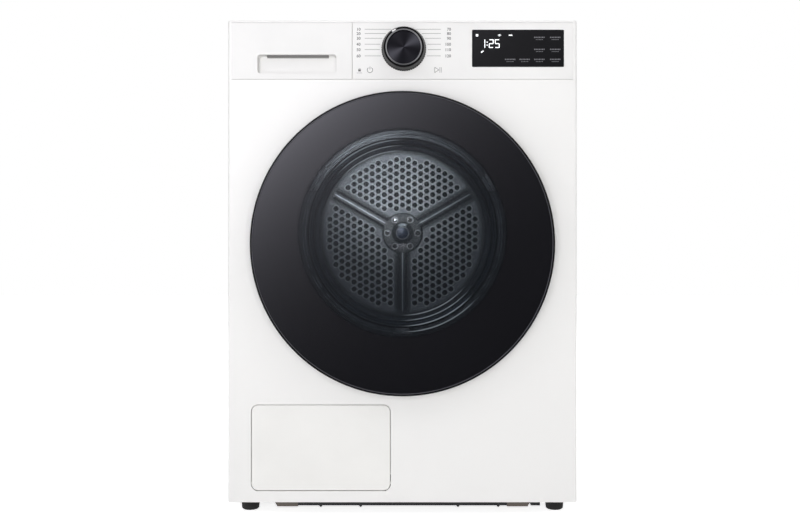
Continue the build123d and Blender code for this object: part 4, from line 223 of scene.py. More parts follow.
class Shading(Graph):
    """The shader tree of a material or of the world."""

    def __init__(self, owner: bpy.types.Material | bpy.types.World) -> None:
        """Starts on a new material or world.

        Args:
            owner: What the tree belongs to.
        """
        owner.use_nodes = True
        super().__init__(owner.node_tree)
        self.owner = owner

    def place(self) -> Wire:
        """Object coordinates, which are the frame's own metres."""
        return self.node("ShaderNodeTexCoord", out="Object")

    def axes(self) -> tuple[Wire, Wire, Wire]:
        """The three Object coordinates as separate values."""
        x = self.node("ShaderNodeSeparateXYZ", None, {0: self.place()})
        return x, x.beside("Y"), x.beside("Z")

    def off_axis(self, axis: Vector) -> tuple[Wire, Wire]:
        """The x and z offsets from a fore-and-aft axis."""
        x, _, z = self.axes()
        return x - axis.x, z - axis.z

    def radius(self, axis: Vector) -> Wire:
        """The distance from a fore-and-aft axis."""
        x, z = self.off_axis(axis)
        return (x ** 2.0 + z ** 2.0) ** 0.5

    def normal(self) -> Wire:
        """The surface's own normal."""
        return self.node("ShaderNodeNewGeometry", out="Normal")

    def backward(self) -> Wire:
        """How far the surface looks backward: 1 to the rear, -1 to the front."""
        return self.node("ShaderNodeSeparateXYZ", None, {0: self.normal()}, out="Y")

    def off_spokes(self) -> Wire:
        """The distance to the nearest spoke's middle line, on its own side of the drum's axis.

        Returns:
            The distance in metres.
        """
        x, z = self.off_axis(DRUM_AXIS)
        least: Any = FAR
        for angle in SPOKES_DEG:
            across = self.math("ABSOLUTE", reach(x, z, angle + 90.0))
            behind = self.math("LESS_THAN", reach(x, z, angle), 0.0)
            least = self.math("MINIMUM", least, across + behind)
        return least

    def noise(self, kind: Noise) -> Wire:
        """Noise between 0 and 1 on Object coordinates.

        Args:
            kind: Its scale, detail and grain.

        Returns:
            The noise value.
        """
        coords = self.place()
        if kind.grain is not None:
            coords = self.node("ShaderNodeMapping", None, {"Vector": coords, "Scale": kind.grain.value})
        inputs = {"Vector": coords, "Scale": kind.scale, "Detail": kind.detail}
        return self.node("ShaderNodeTexNoise", None, inputs)

    def mix(self, share: Any, low: Any, high: Any) -> Wire:
        """A colour between two, by a share from 0 to 1."""
        return self.node("ShaderNodeMix", {"data_type": "RGBA"}, {0: share, 6: low, 7: high}, out=2)

    def ease(self, value: Wire, start: float, end: float) -> Wire:
        """A smooth step from 0 at start to 1 at end."""
        inputs = {"Value": value, "From Min": start, "From Max": end}
        return self.node("ShaderNodeMapRange", {"interpolation_type": "SMOOTHSTEP"}, inputs)

    def bump(self, height: Wire, depth: float, strength: float) -> Wire:
        """A bumped normal from a height between 0 and 1, depth metres high."""
        return self.node("ShaderNodeBump", None, {"Height": height, "Distance": depth, "Strength": strength})

    def principled(self, inputs: dict[str, Any]) -> Wire:
        """A Principled shader with these inputs."""
        return self.node("ShaderNodeBsdfPrincipled", None, inputs)

    def blend(self, share: Wire, low: Wire, high: Wire) -> Wire:
        """A shader between two, by a share from 0 to 1."""
        return self.node("ShaderNodeMixShader", None, {0: share, 1: low, 2: high})

    def finish(self, shader: Wire) -> Any:
        """Joins the shader to the output.

        Args:
            shader: What the surface shows.

        Returns:
            The material or the world.
        """
        kind = "World" if isinstance(self.owner, bpy.types.World) else "Material"
        output = self.tree.nodes.new(f"ShaderNodeOutput{kind}")
        self.tree.links.new(shader.socket, output.inputs["Surface"])
        return self.owner


def reach(x: Wire, z: Wire, angle_deg: float) -> Wire:
    """How far an (x, z) offset goes in a direction."""
    angle = math.radians(angle_deg)
    return math.cos(angle) * x + math.sin(angle) * z


# Finishes


@dataclass(frozen=True)
class Finish:
    """A named finish, which writes its own shader."""

    name: str

    def surface(self, g: Shading) -> Wire:
        """The shader, which each kind of finish writes in its own way."""
        raise NotImplementedError

    def material(self) -> bpy.types.Material:
        """Builds the material."""
        g = Shading(bpy.data.materials.new(self.name))
        return g.finish(self.surface(g))


@dataclass(frozen=True)
class Skin(Finish):
    """One colour whose speckle varies its shade, its roughness and its relief.

    The roughness swings about its middle. It and the relief follow the speckle of the shade, unless they
    have a noise of their own in patches or pits. The relief is a depth in metres and a strength.
    """

    colour: Colour
    roughness: float = 0.5
    swing: float = 0.1
    cloud: Noise = Noise(30.0)
    shades: Pair = (1.0, 1.0)
    gather: float = 1.0
    patches: Noise | None = None
    pits: Noise | None = None
    relief: Pair | None = None
    metallic: float = 0.0
    coat: float = 0.0
    ior: float = 1.5

    def speckle(self, g: Shading) -> Wire:
        """What the shade follows, from 0 to 1."""
        return g.noise(self.cloud)

    def tint(self, g: Shading, speckle: Wire) -> Wire:
        """The base colour, from the darkest shade to the lightest."""
        low, high = (shade(self.colour, factor) for factor in self.shades)
        return g.mix(speckle ** self.gather, low, high)

    def surface(self, g: Shading) -> Wire:
        """The skin's shader.

        Args:
            g: The tree to write in.

        Returns:
            A Principled shader.
        """
        speckle = self.speckle(g)
        inputs: dict[str, Any] = {
            "Base Color": self.tint(g, speckle),
            "Roughness": self.roughness,
            "Metallic": self.metallic,
            "Coat Weight": self.coat,
            "IOR": self.ior,
        }
        if self.swing:
            patches = g.noise(self.patches) if self.patches else speckle
            inputs["Roughness"] = self.roughness - self.swing / 2 + self.swing * patches
        if self.relief:
            pits = g.noise(self.pits) if self.pits else speckle
            inputs["Normal"] = g.bump(pits, *self.relief)
        return g.principled(inputs)


@dataclass(frozen=True)
class Enamel(Skin):
    """Sprayed and stoved paint on sheet steel, with its faint orange peel."""

    roughness: float = 0.30
    swing: float = 0.06
    cloud: Noise = Noise(3.0, 3.0)
    shades: Pair = (0.985, 1.012)
    patches: Noise = Noise(14.0)
    pits: Noise = Noise(420.0)
    relief: Pair = (0.00003, 0.35)
    coat: float = 0.15


@dataclass(frozen=True)
class Moulded(Skin):
    """Injection-moulded plastic with a fine eroded grain."""

    roughness: float = 0.45
    cloud: Noise = Noise(9.0, 4.0)
    shades: Pair = (0.93, 1.06)
    patches: Noise = Noise(40.0)
    pits: Noise = Noise(1800.0)
    relief: Pair = (0.00002, 0.5)


@dataclass(frozen=True)
class Rubber(Skin):
    """Dull rubber with a slight bloom."""

    roughness: float = 0.81
    swing: float = 0.12
    cloud: Noise = Noise(60.0, 5.0)
    shades: Pair = (1.0, 1.9)
    gather: float = 2.0
    pits: Noise = Noise(900.0)
    relief: Pair = (0.00006, 0.5)


@dataclass(frozen=True)
class Cast(Skin):
    """As-cast light metal with a pebbled skin."""

    roughness: float = 0.57
    cloud: Noise = Noise(260.0, 5.0)
    shades: Pair = (0.8, 1.15)
    patches: Noise = Noise(30.0)
    relief: Pair = (0.00015, 0.5)
    metallic: float = 0.9


@dataclass(frozen=True)
class Felt(Skin):
    """Pressed wool felt."""

    roughness: float = 0.95
    swing: float = 0.0
    cloud: Noise = Noise(1400.0, 6.0)
    shades: Pair = (0.75, 1.15)
    relief: Pair = (0.0004, 0.8)


@dataclass(frozen=True)
class GlossBlack(Skin):
    """Black gloss: the display window and the door's rim."""

    roughness: float = 0.11
    swing: float = 0.08
    cloud: Noise = Noise(30.0, 4.0)
    shades: Pair = (1.0, 1.4)
    ior: float = 1.27


@dataclass(frozen=True)
class Bright(Skin):
    """Polished plated metal."""

    roughness: float = 0.19
    swing: float = 0.06
    cloud: Noise = Noise(50.0, 3.0)
    shades: Pair = (0.92, 1.0)
    metallic: float = 1.0


@dataclass(frozen=True)
class Ink(Skin):
    """Pad-printed ink."""

    roughness: float = 0.55
    cloud: Noise = Noise(500.0, 3.0)
    shades: Pair = (1.0, 1.25)


@dataclass(frozen=True)
class Brushed(Skin):
    """Metal with fine lines along one direction; faces that look fore and aft are plain, with a painted
    shade factor.
    """

    swing: float = 0.14
    shades: Pair = (0.86, 1.10)
    relief: Pair = (0.00003, 0.30)
    metallic: float = 1.0
    # painted shade factor on faces that look fore and aft; 1.0 leaves them unshaded
    painted_end_shade: float = 1.0
    end_faces: Pair = (0.3, 0.9)

    def tint(self, g: Shading, speckle: Wire) -> Wire:
        """The lined walls, and the plain ends with their painted shade."""
        ends = g.ease(g.math("ABSOLUTE", g.backward()), *self.end_faces)
        return g.mix(ends, super().tint(g, speckle), shade(self.colour, self.painted_end_shade))


@dataclass(frozen=True)
class Galvanised(Skin):
    """Zinc-coated sheet with its crystal spangle, and painted shade, near black, on faces that look into the
    case.
    """

    roughness: float = 0.46
    swing: float = 0.16
    shades: Pair = (0.84, 1.08)
    metallic: float = 0.85
    spangle: float = 120.0
    # painted shade on the faces that look into the case
    inside: Colour = (0.020, 0.021, 0.022)
    inside_faces: Pair = (-0.5, -0.2)

    def speckle(self, g: Shading) -> Wire:
        """The crystals, each of its own level."""
        cells = g.node(
            "ShaderNodeTexVoronoi", None, {"Vector": g.place(), "Scale": self.spangle}, out="Color"
        )
        return g.node("ShaderNodeSeparateColor", None, {0: cells})

    def tint(self, g: Shading, speckle: Wire) -> Wire:
        """The zinc, and the painted shade on the faces inside."""
        return g.mix(g.ease(g.backward(), *self.inside_faces), self.inside, super().tint(g, speckle))


@dataclass(frozen=True)
class CircuitBoard(Skin):
    """A lacquered board with copper tracks under the green."""

    colour: Colour = (0.03, 0.16, 0.07)
    roughness: float = 0.40
    shades: Pair = (1.0, 2.2)
    track_scale: float = 90.0
    track_width: float = 0.03
    track_offset: float = 0.5

    def speckle(self, g: Shading) -> Wire:
        """The tracks."""
        inputs = {"Vector": g.place(), "Scale": self.track_scale, "Mortar Size": self.track_width}
        return g.node("ShaderNodeTexBrick", {"offset": self.track_offset}, inputs, out="Fac")


@dataclass(frozen=True)
class PressedBack(Skin):
    """The drum's perforated back: its own colour in the fields, with painted shade along the spokes and
    round its rim.

    The spoke and rim edges are the distances between which the painted shade passes into the fields' colour.
    """

    colour: Colour = (0.24, 0.26, 0.285)
    cloud: Noise = brushing(Grain.ALONG_X)
    shades: Pair = (0.9, 1.1)
    metallic: float = 0.2
    # painted shade along the spokes and round the rim
    dark: Colour = (0.045, 0.049, 0.054)
    spoke_shade_edge: Pair = (13.0 * MM, 22.0 * MM)
    rim_shade_edge: Pair = (183.0 * MM, 172.0 * MM)

    def tint(self, g: Shading, speckle: Wire) -> Wire:
        """The fields in their own colour, in a surround of painted shade."""
        # painted shade: open_field is 0 along the spokes and round the rim, 1 in the fields
        open_field = g.ease(g.off_spokes(), *self.spoke_shade_edge) * g.ease(g.radius(DRUM_AXIS), *self.rim_shade_edge)
        return g.mix(open_field, self.dark, super().tint(g, speckle))


@dataclass(frozen=True)
class StarHub(Skin):
    """The hub and its arms: painted shade on the flanks, painted highlights on the crests and the cone, a
    blue cap in a bright ring.

    Each edge gives the two distances between which one zone passes into the next.
    """

    colour: Colour = (0.052, 0.056, 0.062)
    roughness: float = 0.37
    cloud: Noise = Noise(60.0, 4.0)
    shades: Pair = (0.7, 1.2)
    metallic: float = 0.3
    # painted shade on the arms' flanks
    dark: Colour = (0.045, 0.049, 0.054)
    # painted highlight along each arm's crest; the ring round the cap takes this colour too
    crest: Colour = (0.42, 0.46, 0.50)
    # painted highlight on the upper flank of the cone round the cap
    flare: Colour = (0.80, 0.90, 0.98)
    cap: Colour = (0.030, 0.040, 0.070)
    crest_edge: Pair = (1.7 * MM, 0.9 * MM)
    cap_edge: Pair = (11.9 * MM, 12.5 * MM)
    ring_edge: Pair = (14.8 * MM, 15.4 * MM)
    flare_foot: Pair = (15.4 * MM, 16.8 * MM)
    flare_rim: Pair = (23.0 * MM, 20.0 * MM)
    flare_upward: Pair = (0.82, 0.96)
    plate_edge: Pair = (44.0 * MM, 45.0 * MM)

    def tint(self, g: Shading, speckle: Wire) -> Wire:
        """The zones from the cap outwards.

        Args:
            g: The tree to write in.
            speckle: The wear of the plate.

        Returns:
            The base colour.
        """
        radius = g.radius(DRUM_AXIS)
        _, z = g.off_axis(DRUM_AXIS)
        ring = g.mix(g.ease(radius, *self.ring_edge), self.crest, super().tint(g, speckle))
        # painted highlight on the cone's upper flank
        upward = g.ease(z * radius ** -1.0, *self.flare_upward)
        on_cone = g.ease(radius, *self.flare_foot) * g.ease(radius, *self.flare_rim)
        lit_ring = g.mix(upward * on_cone, ring, self.flare)
        plate = g.mix(g.ease(radius, *self.cap_edge), self.cap, lit_ring)
        # painted shade on the arms' flanks, painted highlight along their crests
        arms = g.mix(g.ease(g.off_spokes(), *self.crest_edge), self.dark, self.crest)
        return g.mix(g.ease(radius, *self.plate_edge), plate, arms)


@dataclass(frozen=True)
class SmokedGlass(Finish):
    """The door's outer glass: printed black round a clear tinted window."""

    window_r: float
    print_colour: Colour = (0.0065, 0.0065, 0.008)
    print_roughness: float = 0.05
    print_ior: float = 1.52
    tint_colour: Colour = (0.010, 0.012, 0.015)
    tint_roughness: float = 0.03
    tint_ior: float = 1.55
    fade: float = 3.0 * MM
    window_alpha: float = 0.40
    haze: Noise = Noise(5.0, 3.0)
    haze_shade: float = 1.3
    crown_r: float = 12.7
    crown_faces: Pair = (0.85, 0.95)

    def crown(self, g: Shading) -> Wire:
        """The smooth normal of the glass's slight crown, on both of its faces.

        Args:
            g: The tree to write in.

        Returns:
            The normal, which leaves the glass's edge as it is.
        """
        low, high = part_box("door_glass")
        dx, dz = g.off_axis((low + high) / 2)
        facing = g.math("SIGN", g.backward())
        lean = facing * (-1.0 / self.crown_r)
        smooth = g.node("ShaderNodeCombineXYZ", None, {0: dx * lean, 1: facing, 2: dz * lean})
        share = g.ease(g.math("ABSOLUTE", g.backward()), *self.crown_faces)
        inputs = {0: share, 4: g.normal(), 5: smooth}
        mixed = g.node("ShaderNodeMix", {"data_type": "VECTOR"}, inputs, out=1)
        return g.node("ShaderNodeVectorMath", {"operation": "NORMALIZE"}, {0: mixed})

    def surface(self, g: Shading) -> Wire:
        """The glass with its printed border.

        Args:
            g: The tree to write in.

        Returns:
            The border's shader over the window's.
        """
        printed = g.ease(g.radius(DRUM_AXIS), self.window_r - self.fade, self.window_r + self.fade)
        haze = g.noise(self.haze)
        normal = self.crown(g)
        border = g.principled(
            {
                "Base Color": g.mix(haze, self.print_colour, shade(self.print_colour, self.haze_shade)),
                "Roughness": self.print_roughness,
                "IOR": self.print_ior,
                "Normal": normal,
            }
        )
        window = g.principled(
            {
                "Base Color": g.mix(haze, self.tint_colour, shade(self.tint_colour, self.haze_shade)),
                "Roughness": self.tint_roughness,
                "IOR": self.tint_ior,
                "Alpha": self.window_alpha,
                "Normal": normal,
            }
        )
        return g.blend(printed, window, border)


@dataclass(frozen=True)
class ClearGlass(Finish):
    """Pressed clear glass or a clear lens: clear face-on, a mirror where the surface turns edge-on."""

    colour: Colour
    alpha: float = 0.04
    roughness: float = 0.05
    ior: float = 1.52
    body_shade: float = 0.9
    body_roughness: float = 0.5
    mirror: Colour = (0.42, 0.48, 0.55)
    ripple: Noise = Noise(16.0)
    relief: Pair = (0.0006, 0.3)

    def surface(self, g: Shading) -> Wire:
        """The mirror over the clear body.

        Args:
            g: The tree to write in.

        Returns:
            The two shaders, mixed by the angle of view.
        """
        ripple = g.noise(self.ripple)
        body = g.principled(
            {
                "Base Color": g.mix(ripple, shade(self.colour, self.body_shade), self.colour),
                "Roughness": self.body_roughness,
                "Alpha": self.alpha,
            }
        )
        skin = g.principled(
            {
                "Base Color": self.mirror,
                "Metallic": 1.0,
                "Roughness": self.roughness,
                "Normal": g.bump(ripple, *self.relief),
            }
        )
        return g.blend(g.node("ShaderNodeFresnel", None, {"IOR": self.ior}), body, skin)


@dataclass(frozen=True)
class GlassBead(Finish):
    """A bead moulded round the bowl: faint, with a painted, faintly glowing glint towards each of some
    directions.
    """

    faint: Colour = (0.055, 0.065, 0.075)
    # painted highlight colour of the glints, and of their glow
    bright: Colour = (0.82, 0.92, 1.0)
    unlit: Colour = (0.0, 0.0, 0.0)
    glints_deg: tuple[float, ...] = (114.0, -66.0)
    glint_edge: Pair = (0.90, 0.99)
    glow: float = 0.35
    metallic: float = 0.1
    roughness: Pair = (0.18, 0.08)
    cloud: Noise = Noise(40.0)

    def surface(self, g: Shading) -> Wire:
        """The bead's glass.

        Args:
            g: The tree to write in.

        Returns:
            A Principled shader.
        """
        x, z = g.off_axis(DRUM_AXIS)
        inverse = g.radius(DRUM_AXIS) ** -1.0
        glint: Any = 0.0
        # painted highlights: a glint towards each direction
        for angle in self.glints_deg:
            glint = g.math("MAXIMUM", glint, g.ease(reach(x, z, angle) * inverse, *self.glint_edge))
        least, swing = self.roughness
        return g.principled(
            {
                "Base Color": g.mix(glint, self.faint, self.bright),
                "Metallic": self.metallic,
                "Roughness": least + swing * g.noise(self.cloud),
                # the painted glints glow a little, though the bead is no lamp
                "Emission Color": g.mix(glint, self.unlit, self.bright),
                "Emission Strength": self.glow,
            }
        )


@dataclass(frozen=True)
class SpunCap(Finish):
    """A dark spun cap whose base colour holds painted highlights in two fans and, faintly, between them."""

    dark: Colour = (0.0075, 0.0075, 0.0085)
    # bright, fan_deg, sharpness and between shape the painted highlight fans
    bright: Colour = (0.046, 0.046, 0.050)
    fan_deg: float = 33.0
    sharpness: float = 6.0
    between: float = 0.15
    roughness: Pair = (0.30, 0.05)

    def surface(self, g: Shading) -> Wire:
        """The spun metal.

        Args:
            g: The tree to write in.

        Returns:
            A Principled shader.
        """
        x, z = g.off_axis(KNOB_AXIS)
        inverse = (x ** 2.0 + z ** 2.0 + TINY) ** -1.0
        # painted highlights: two fans, and fainter ones between them
        fan, faint = (
            (reach(x, z, angle) ** 2.0 * inverse) ** self.sharpness
            for angle in (self.fan_deg, self.fan_deg + 90.0)
        )
        least, swing = self.roughness
        return g.principled(
            {
                "Base Color": g.mix(fan + self.between * faint, self.dark, self.bright),
                "Metallic": 1.0,
                "Roughness": least + swing * fan,
            }
        )


@dataclass(frozen=True)
class FlutedSkirt(Finish):
    """The knob's side: a satin fluted band between two black edges, with painted shade in the flutes'
    grooves.
    """

    inner_edge: Pair = (34.2 * MM, 34.8 * MM)
    # past the outer edge the knob's black also stands in for a painted shadow line round its foot
    outer_edge: Pair = (37.4 * MM, 36.8 * MM)
    flutes: int = 72
    satin: Colour = (0.013, 0.013, 0.0135)
    # painted shade in each flute's groove
    satin_shade: float = 0.5
    satin_roughness: float = 0.45
    relief: Pair = (0.0002, 0.6)
    black: Colour = (0.0035, 0.0035, 0.0035)
    # the black edges lighten a little on the flutes' crests, a faint painted highlight
    black_shade: float = 1.2
    black_roughness: float = 0.5
    black_ior: float = 1.12

    def surface(self, g: Shading) -> Wire:
        """The moulding.

        Args:
            g: The tree to write in.

        Returns:
            The band's shader over the edges'.
        """
        x, z = g.off_axis(KNOB_AXIS)
        radius = g.radius(KNOB_AXIS)
        on_band = g.ease(radius, *self.inner_edge) * g.ease(radius, *self.outer_edge)
        # the ripple paints shade into the flutes' grooves through the colour, besides the bump
        ripple = 0.5 + 0.5 * g.math("SINE", self.flutes * g.math("ARCTAN2", z, x))
        side = g.principled(
            {
                "Base Color": g.mix(ripple, shade(self.satin, self.satin_shade), self.satin),
                "Roughness": self.satin_roughness,
                "Normal": g.bump(ripple, *self.relief),
            }
        )
        edges = g.principled(
            {
                "Base Color": g.mix(ripple, self.black, shade(self.black, self.black_shade)),
                "Roughness": self.black_roughness,
                "IOR": self.black_ior,
            }
        )
        return g.blend(on_band, edges, side)


@dataclass(frozen=True)
class Lit(Finish):
    """A lit segment behind the display window."""

    colour: Colour
    strength: float = 1.0
    bloom: Noise = Noise(300.0)
    bloom_shade: float = 0.9
    roughness: Pair = (0.4, 0.1)

    def surface(self, g: Shading) -> Wire:
        """The glow.

        Args:
            g: The tree to write in.

        Returns:
            A Principled shader.
        """
        bloom = g.noise(self.bloom)
        least, swing = self.roughness
        return g.principled(
            {
                "Base Color": self.colour,
                "Roughness": least + swing * bloom,
                "Emission Color": g.mix(bloom, shade(self.colour, self.bloom_shade), self.colour),
                "Emission Strength": self.strength,
            }
        )


LINES_X, LINES_Y, LINES_Z = map(brushing, Grain)
PALETTE = {
    "white_paint": Enamel("white_enamel", (0.912, 0.905, 0.893)),
    "white_plastic": Moulded(
        "white_moulding", (0.845, 0.839, 0.827), 0.38, pits=Noise(1500.0), relief=(0.000012, 0.5)
    ),
    "flap_plastic": Moulded("flap_moulding", (0.880, 0.873, 0.850), 0.48, pits=Noise(1500.0)),
    "grey_galvanised": Galvanised("zinc_sheet", (0.60, 0.61, 0.62)),
    "base_black": Moulded("base_moulding", (0.012, 0.012, 0.012), 0.55),
    "skid_brown": Moulded("skid_moulding", (0.105, 0.090, 0.075), 0.60),
    "foot_rubber": Rubber("foot_rubber", (0.012, 0.012, 0.0115)),
    "seal_rubber": Rubber("door_seal_rubber", (0.05, 0.05, 0.053)),
    "felt": Felt("drum_felt", (0.48, 0.45, 0.40)),
    # drum_steel: painted shade on the shell's faces that look fore and aft, such as its rear ring
    "drum_steel": Brushed("drum_steel", (0.25, 0.265, 0.285), 0.33, cloud=LINES_X, painted_end_shade=0.30),
    # back_steel: painted shade along the spokes and round the rim of the drum's back
    "back_steel": PressedBack("back_steel"),
    "bead_steel": Brushed("bead_steel", (0.72, 0.76, 0.80), 0.35, cloud=LINES_X, metallic=0.5),
    # hub_steel: painted shade and painted highlights on the hub and its arms
    "hub_steel": StarHub("hub_steel"),
    "lifter_plastic": Moulded("lifter_moulding", (0.22, 0.23, 0.25), 0.42),
    "cast_grey": Cast("spider_casting", (0.16, 0.16, 0.165)),
    "bearing_steel": Brushed("ground_steel", (0.42, 0.42, 0.44), 0.21, cloud=LINES_Y),
    "duct_grey": Moulded("duct_moulding", (0.075, 0.075, 0.08), 0.5),
    "filter_plastic": Moulded("filter_moulding", (0.05, 0.055, 0.065), 0.4),
    "lamp_lens": ClearGlass("lamp_lens", (0.9, 0.92, 0.95), alpha=0.6, roughness=0.3),
    "sensor_steel": Brushed("sensor_steel", (0.62, 0.62, 0.63), 0.21, cloud=LINES_X),
    "belt_rubber": Rubber("belt_rubber", (0.010, 0.010, 0.010), 0.66),
    "roller_rubber": Rubber("roller_rubber", (0.02, 0.02, 0.02)),
    "motor_iron": Cast("motor_can", (0.16, 0.16, 0.17), 0.65),
    "compressor_black": Enamel("compressor_enamel", (0.012, 0.012, 0.013), 0.35, pits=Noise(200.0)),
    "coil_aluminium": Brushed("fin_stock", (0.62, 0.63, 0.65), 0.36, cloud=LINES_Z),
    "hose_rubber": Rubber("hose_rubber", (0.02, 0.02, 0.02), 0.66),
    "pump_plastic": Moulded("pump_moulding", (0.03, 0.03, 0.033), 0.5),
    "tank_plastic": Moulded("tank_moulding", (0.60, 0.62, 0.64), 0.35),
    "board_green": CircuitBoard("control_board"),
    "door_glass": SmokedGlass("smoked_glass", 175.5 * MM),
    "door_rim": GlossBlack("door_rim_gloss", (0.004, 0.004, 0.0045)),
    "door_frame": Moulded("door_frame_moulding", (0.016, 0.016, 0.018), 0.45),
    # bowl_bead: painted glints that glow a little
    "bowl_bead": GlassBead("bowl_bead"),
    "bowl_glass": ClearGlass("bowl_glass", (0.08, 0.10, 0.115), ior=1.22),
    "hinge_metal": Brushed("zinc_plate", (0.50, 0.50, 0.51), 0.31, cloud=LINES_Z),
    "display_glass": GlossBlack("display_black", (0.006, 0.006, 0.0065)),
    "knob_black": FlutedSkirt("knob_skirt"),
    "knob_chrome": Bright("knob_plating", (0.40, 0.40, 0.415), 0.42),
    # knob_brushed: painted highlight fans on the turned cap
    "knob_brushed": SpunCap("spun_cap"),
    "print_grey": Ink("print_grey", (0.115, 0.112, 0.11)),
    # a dark sheet of painted shade at the back of the grip's undercut
    "grip_painted_shade": Moulded("grip_shade_sheet_moulding", (0.26, 0.255, 0.25), 0.6),
    "trim_grey": Bright("door_trim", (0.12, 0.12, 0.128), 0.35),
    "index_white": Ink("index_white", (0.86, 0.86, 0.85)),
    "lit_white": Lit("lit_white", (0.86, 0.88, 0.90)),
    "lit_dim": Lit("lit_dim", (0.075, 0.075, 0.08)),
    "screw_zinc": Brushed("screw_zinc", (0.52, 0.52, 0.53), 0.29, cloud=LINES_X),
}


class Dresser:
    """Gives CAD nodes and new pieces their finishes, each built once."""

    def __init__(self) -> None:
        """Starts with no material built."""
        self.built: dict[str, bpy.types.Material] = {}

    def material(self, key: str) -> bpy.types.Material:
        """The material of a palette entry."""
        if key not in self.built:
            self.built[key] = PALETTE[key].material()
        return self.built[key]

    def node(self, name: str, key: str) -> None:
        """Puts a finish on a CAD node.

        Args:
            name: The node's name.
            key: The palette entry of its finish.
        """
        data = frame["nodes"][name].data
        data.materials.clear()
        data.materials.append(self.material(key))
        LOG.info("dressed %s with %s", name, key)

    def place(
        self, name: str, data: bpy.types.Mesh, key: str, body: Body, slot: str
    ) -> bpy.types.Object:
        """Puts a plain mesh into the scene as a piece that rides on a body.

        Args:
            name: The piece's name.
            data: The mesh, in the frame's metres.
            key: The palette entry of its finish.
            body: What it moves with.
            slot: The record's material slot; not used.

        Returns:
            The new object.
        """
        data.materials.clear()
        data.materials.append(self.material(key))
        made = bpy.data.objects.new(name, data)
        bpy.context.scene.collection.objects.link(made)
        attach(made, body.value)
        LOG.info("made %s on %s: %d faces", name, body.value, len(data.polygons))
        return made

    def piece(
        self, name: str, shape: bmesh.types.BMesh, key: str, body: Body, slot: str
    ) -> bpy.types.Object:
        """Turns a finished bmesh into a piece, and frees it.

        Args:
            name: The piece's name.
            shape: The mesh, in the frame's metres.
            key: The palette entry of its finish.
            body: What it moves with.
            slot: The record's material slot; passed on, but not used.

        Returns:
            The new object.
        """
        bmesh.ops.recalc_face_normals(shape, faces=shape.faces)
        data = bpy.data.meshes.new(name)
        shape.to_mesh(data)
        shape.free()
        return self.place(name, data, key, body, slot)

    def scatter(
        self, name: str, pattern: "Pattern", spots: Spots, key: str, body: Body, slot: str
    ) -> None:
        """Sets a pattern's shape on spots, as one piece."""
        mesh = pattern.run(name, spots, self.material(key))
        self.place(name, mesh, key, body, slot)


# Mesh kit


class Align(Enum):
    """Which end of a line of figures stands at its place."""

    LEFT = "LEFT"
    RIGHT = "RIGHT"


class Slab:
    """Upright flat bodies between a front and a back plane, drawn by (x, z) points."""

    ARC_STEPS: ClassVar[int] = 28
    WELD: ClassVar[float] = 1e-7
    CURVE_STEPS: ClassVar[int] = 3
    BOLDER: ClassVar[float] = 0.018

    def __init__(self, front: float, back: float) -> None:
        """Starts with nothing drawn."""
        self.shape = bmesh.new()
        self.y_span = (front, back)

    def prism(self, outline: Sequence[Pair]) -> None:
        """Adds a body by its corners.

        Args:
            outline: The corners in order.
        """
        front, back = ([self.shape.verts.new((x, y, z)) for x, z in outline] for y in self.y_span)
        self.shape.faces.new(front)
        self.shape.faces.new(back[::-1])
        for index in range(len(outline)):
            after = (index + 1) % len(outline)
            self.shape.faces.new((front[index], back[index], back[after], front[after]))

    def block(self, low: Pair, high: Pair) -> None:
        """Adds an upright rectangle by two opposite corners."""
        self.prism([low, (high[0], low[1]), high, (low[0], high[1])])

    def bar(self, start: Pair, end: Pair, width: float) -> None:
        """Adds a straight stroke between two points.

        Args:
            start: The middle of its first end.
            end: The middle of its other end.
            width: Its width.
        """
        along = Vector((end[0] - start[0], end[1] - start[1])).normalized() * width / 2
        side = Vector((-along.y, along.x))
        there = [(point[0] + side.x, point[1] + side.y) for point in (start, end)]
        back = [(point[0] - side.x, point[1] - side.y) for point in (end, start)]
        self.prism(there + back)

    def arc(self, centre: Pair, radius: float, width: float, span_deg: Pair, steps: int = ARC_STEPS) -> None:
        """Adds a curved stroke round a centre.

        Args:
            centre: The middle of the curve.
            radius: From there to the middle of the stroke.
            width: The stroke's width.
            span_deg: The angles where it starts and ends.
            steps: How many flat pieces it has.
        """
        start, end = map(math.radians, span_deg)
        angles = [start + (end - start) * i / steps for i in range(steps + 1)]
        inner, outer = radius - width / 2, radius + width / 2
        for first, second in zip(angles, angles[1:]):
            corners = ((inner, first), (outer, first), (outer, second), (inner, second))
            self.prism([on_circle(centre, r, angle) for r, angle in corners])
        bmesh.ops.remove_doubles(self.shape, verts=self.shape.verts, dist=self.WELD)

    def figures(self, text: str, at: Pair, size: float, align: Align) -> None:
        """Adds figures that face the front.

        Args:
            text: The figures.
            at: The place of their base line.
            size: The type size in metres.
            align: Which end stands there.
        """
        front, back = self.y_span
        curve = bpy.data.curves.new("figures", "FONT")
        curve.body = text
        curve.size = size
        curve.align_x = align.value
        curve.extrude = (back - front) / 2
        curve.resolution_u = self.CURVE_STEPS
        curve.offset = self.BOLDER * size
        holder = bpy.data.objects.new("figures", curve)
        mesh = bpy.data.meshes.new_from_object(holder)
        middle = Matrix.Translation((at[0], (front + back) / 2, at[1]))
        mesh.transform(middle @ Matrix.Rotation(math.pi / 2, 4, "X"))
        self.shape.from_mesh(mesh)
        bpy.data.objects.remove(holder)
        bpy.data.curves.remove(curve)
        bpy.data.meshes.remove(mesh)


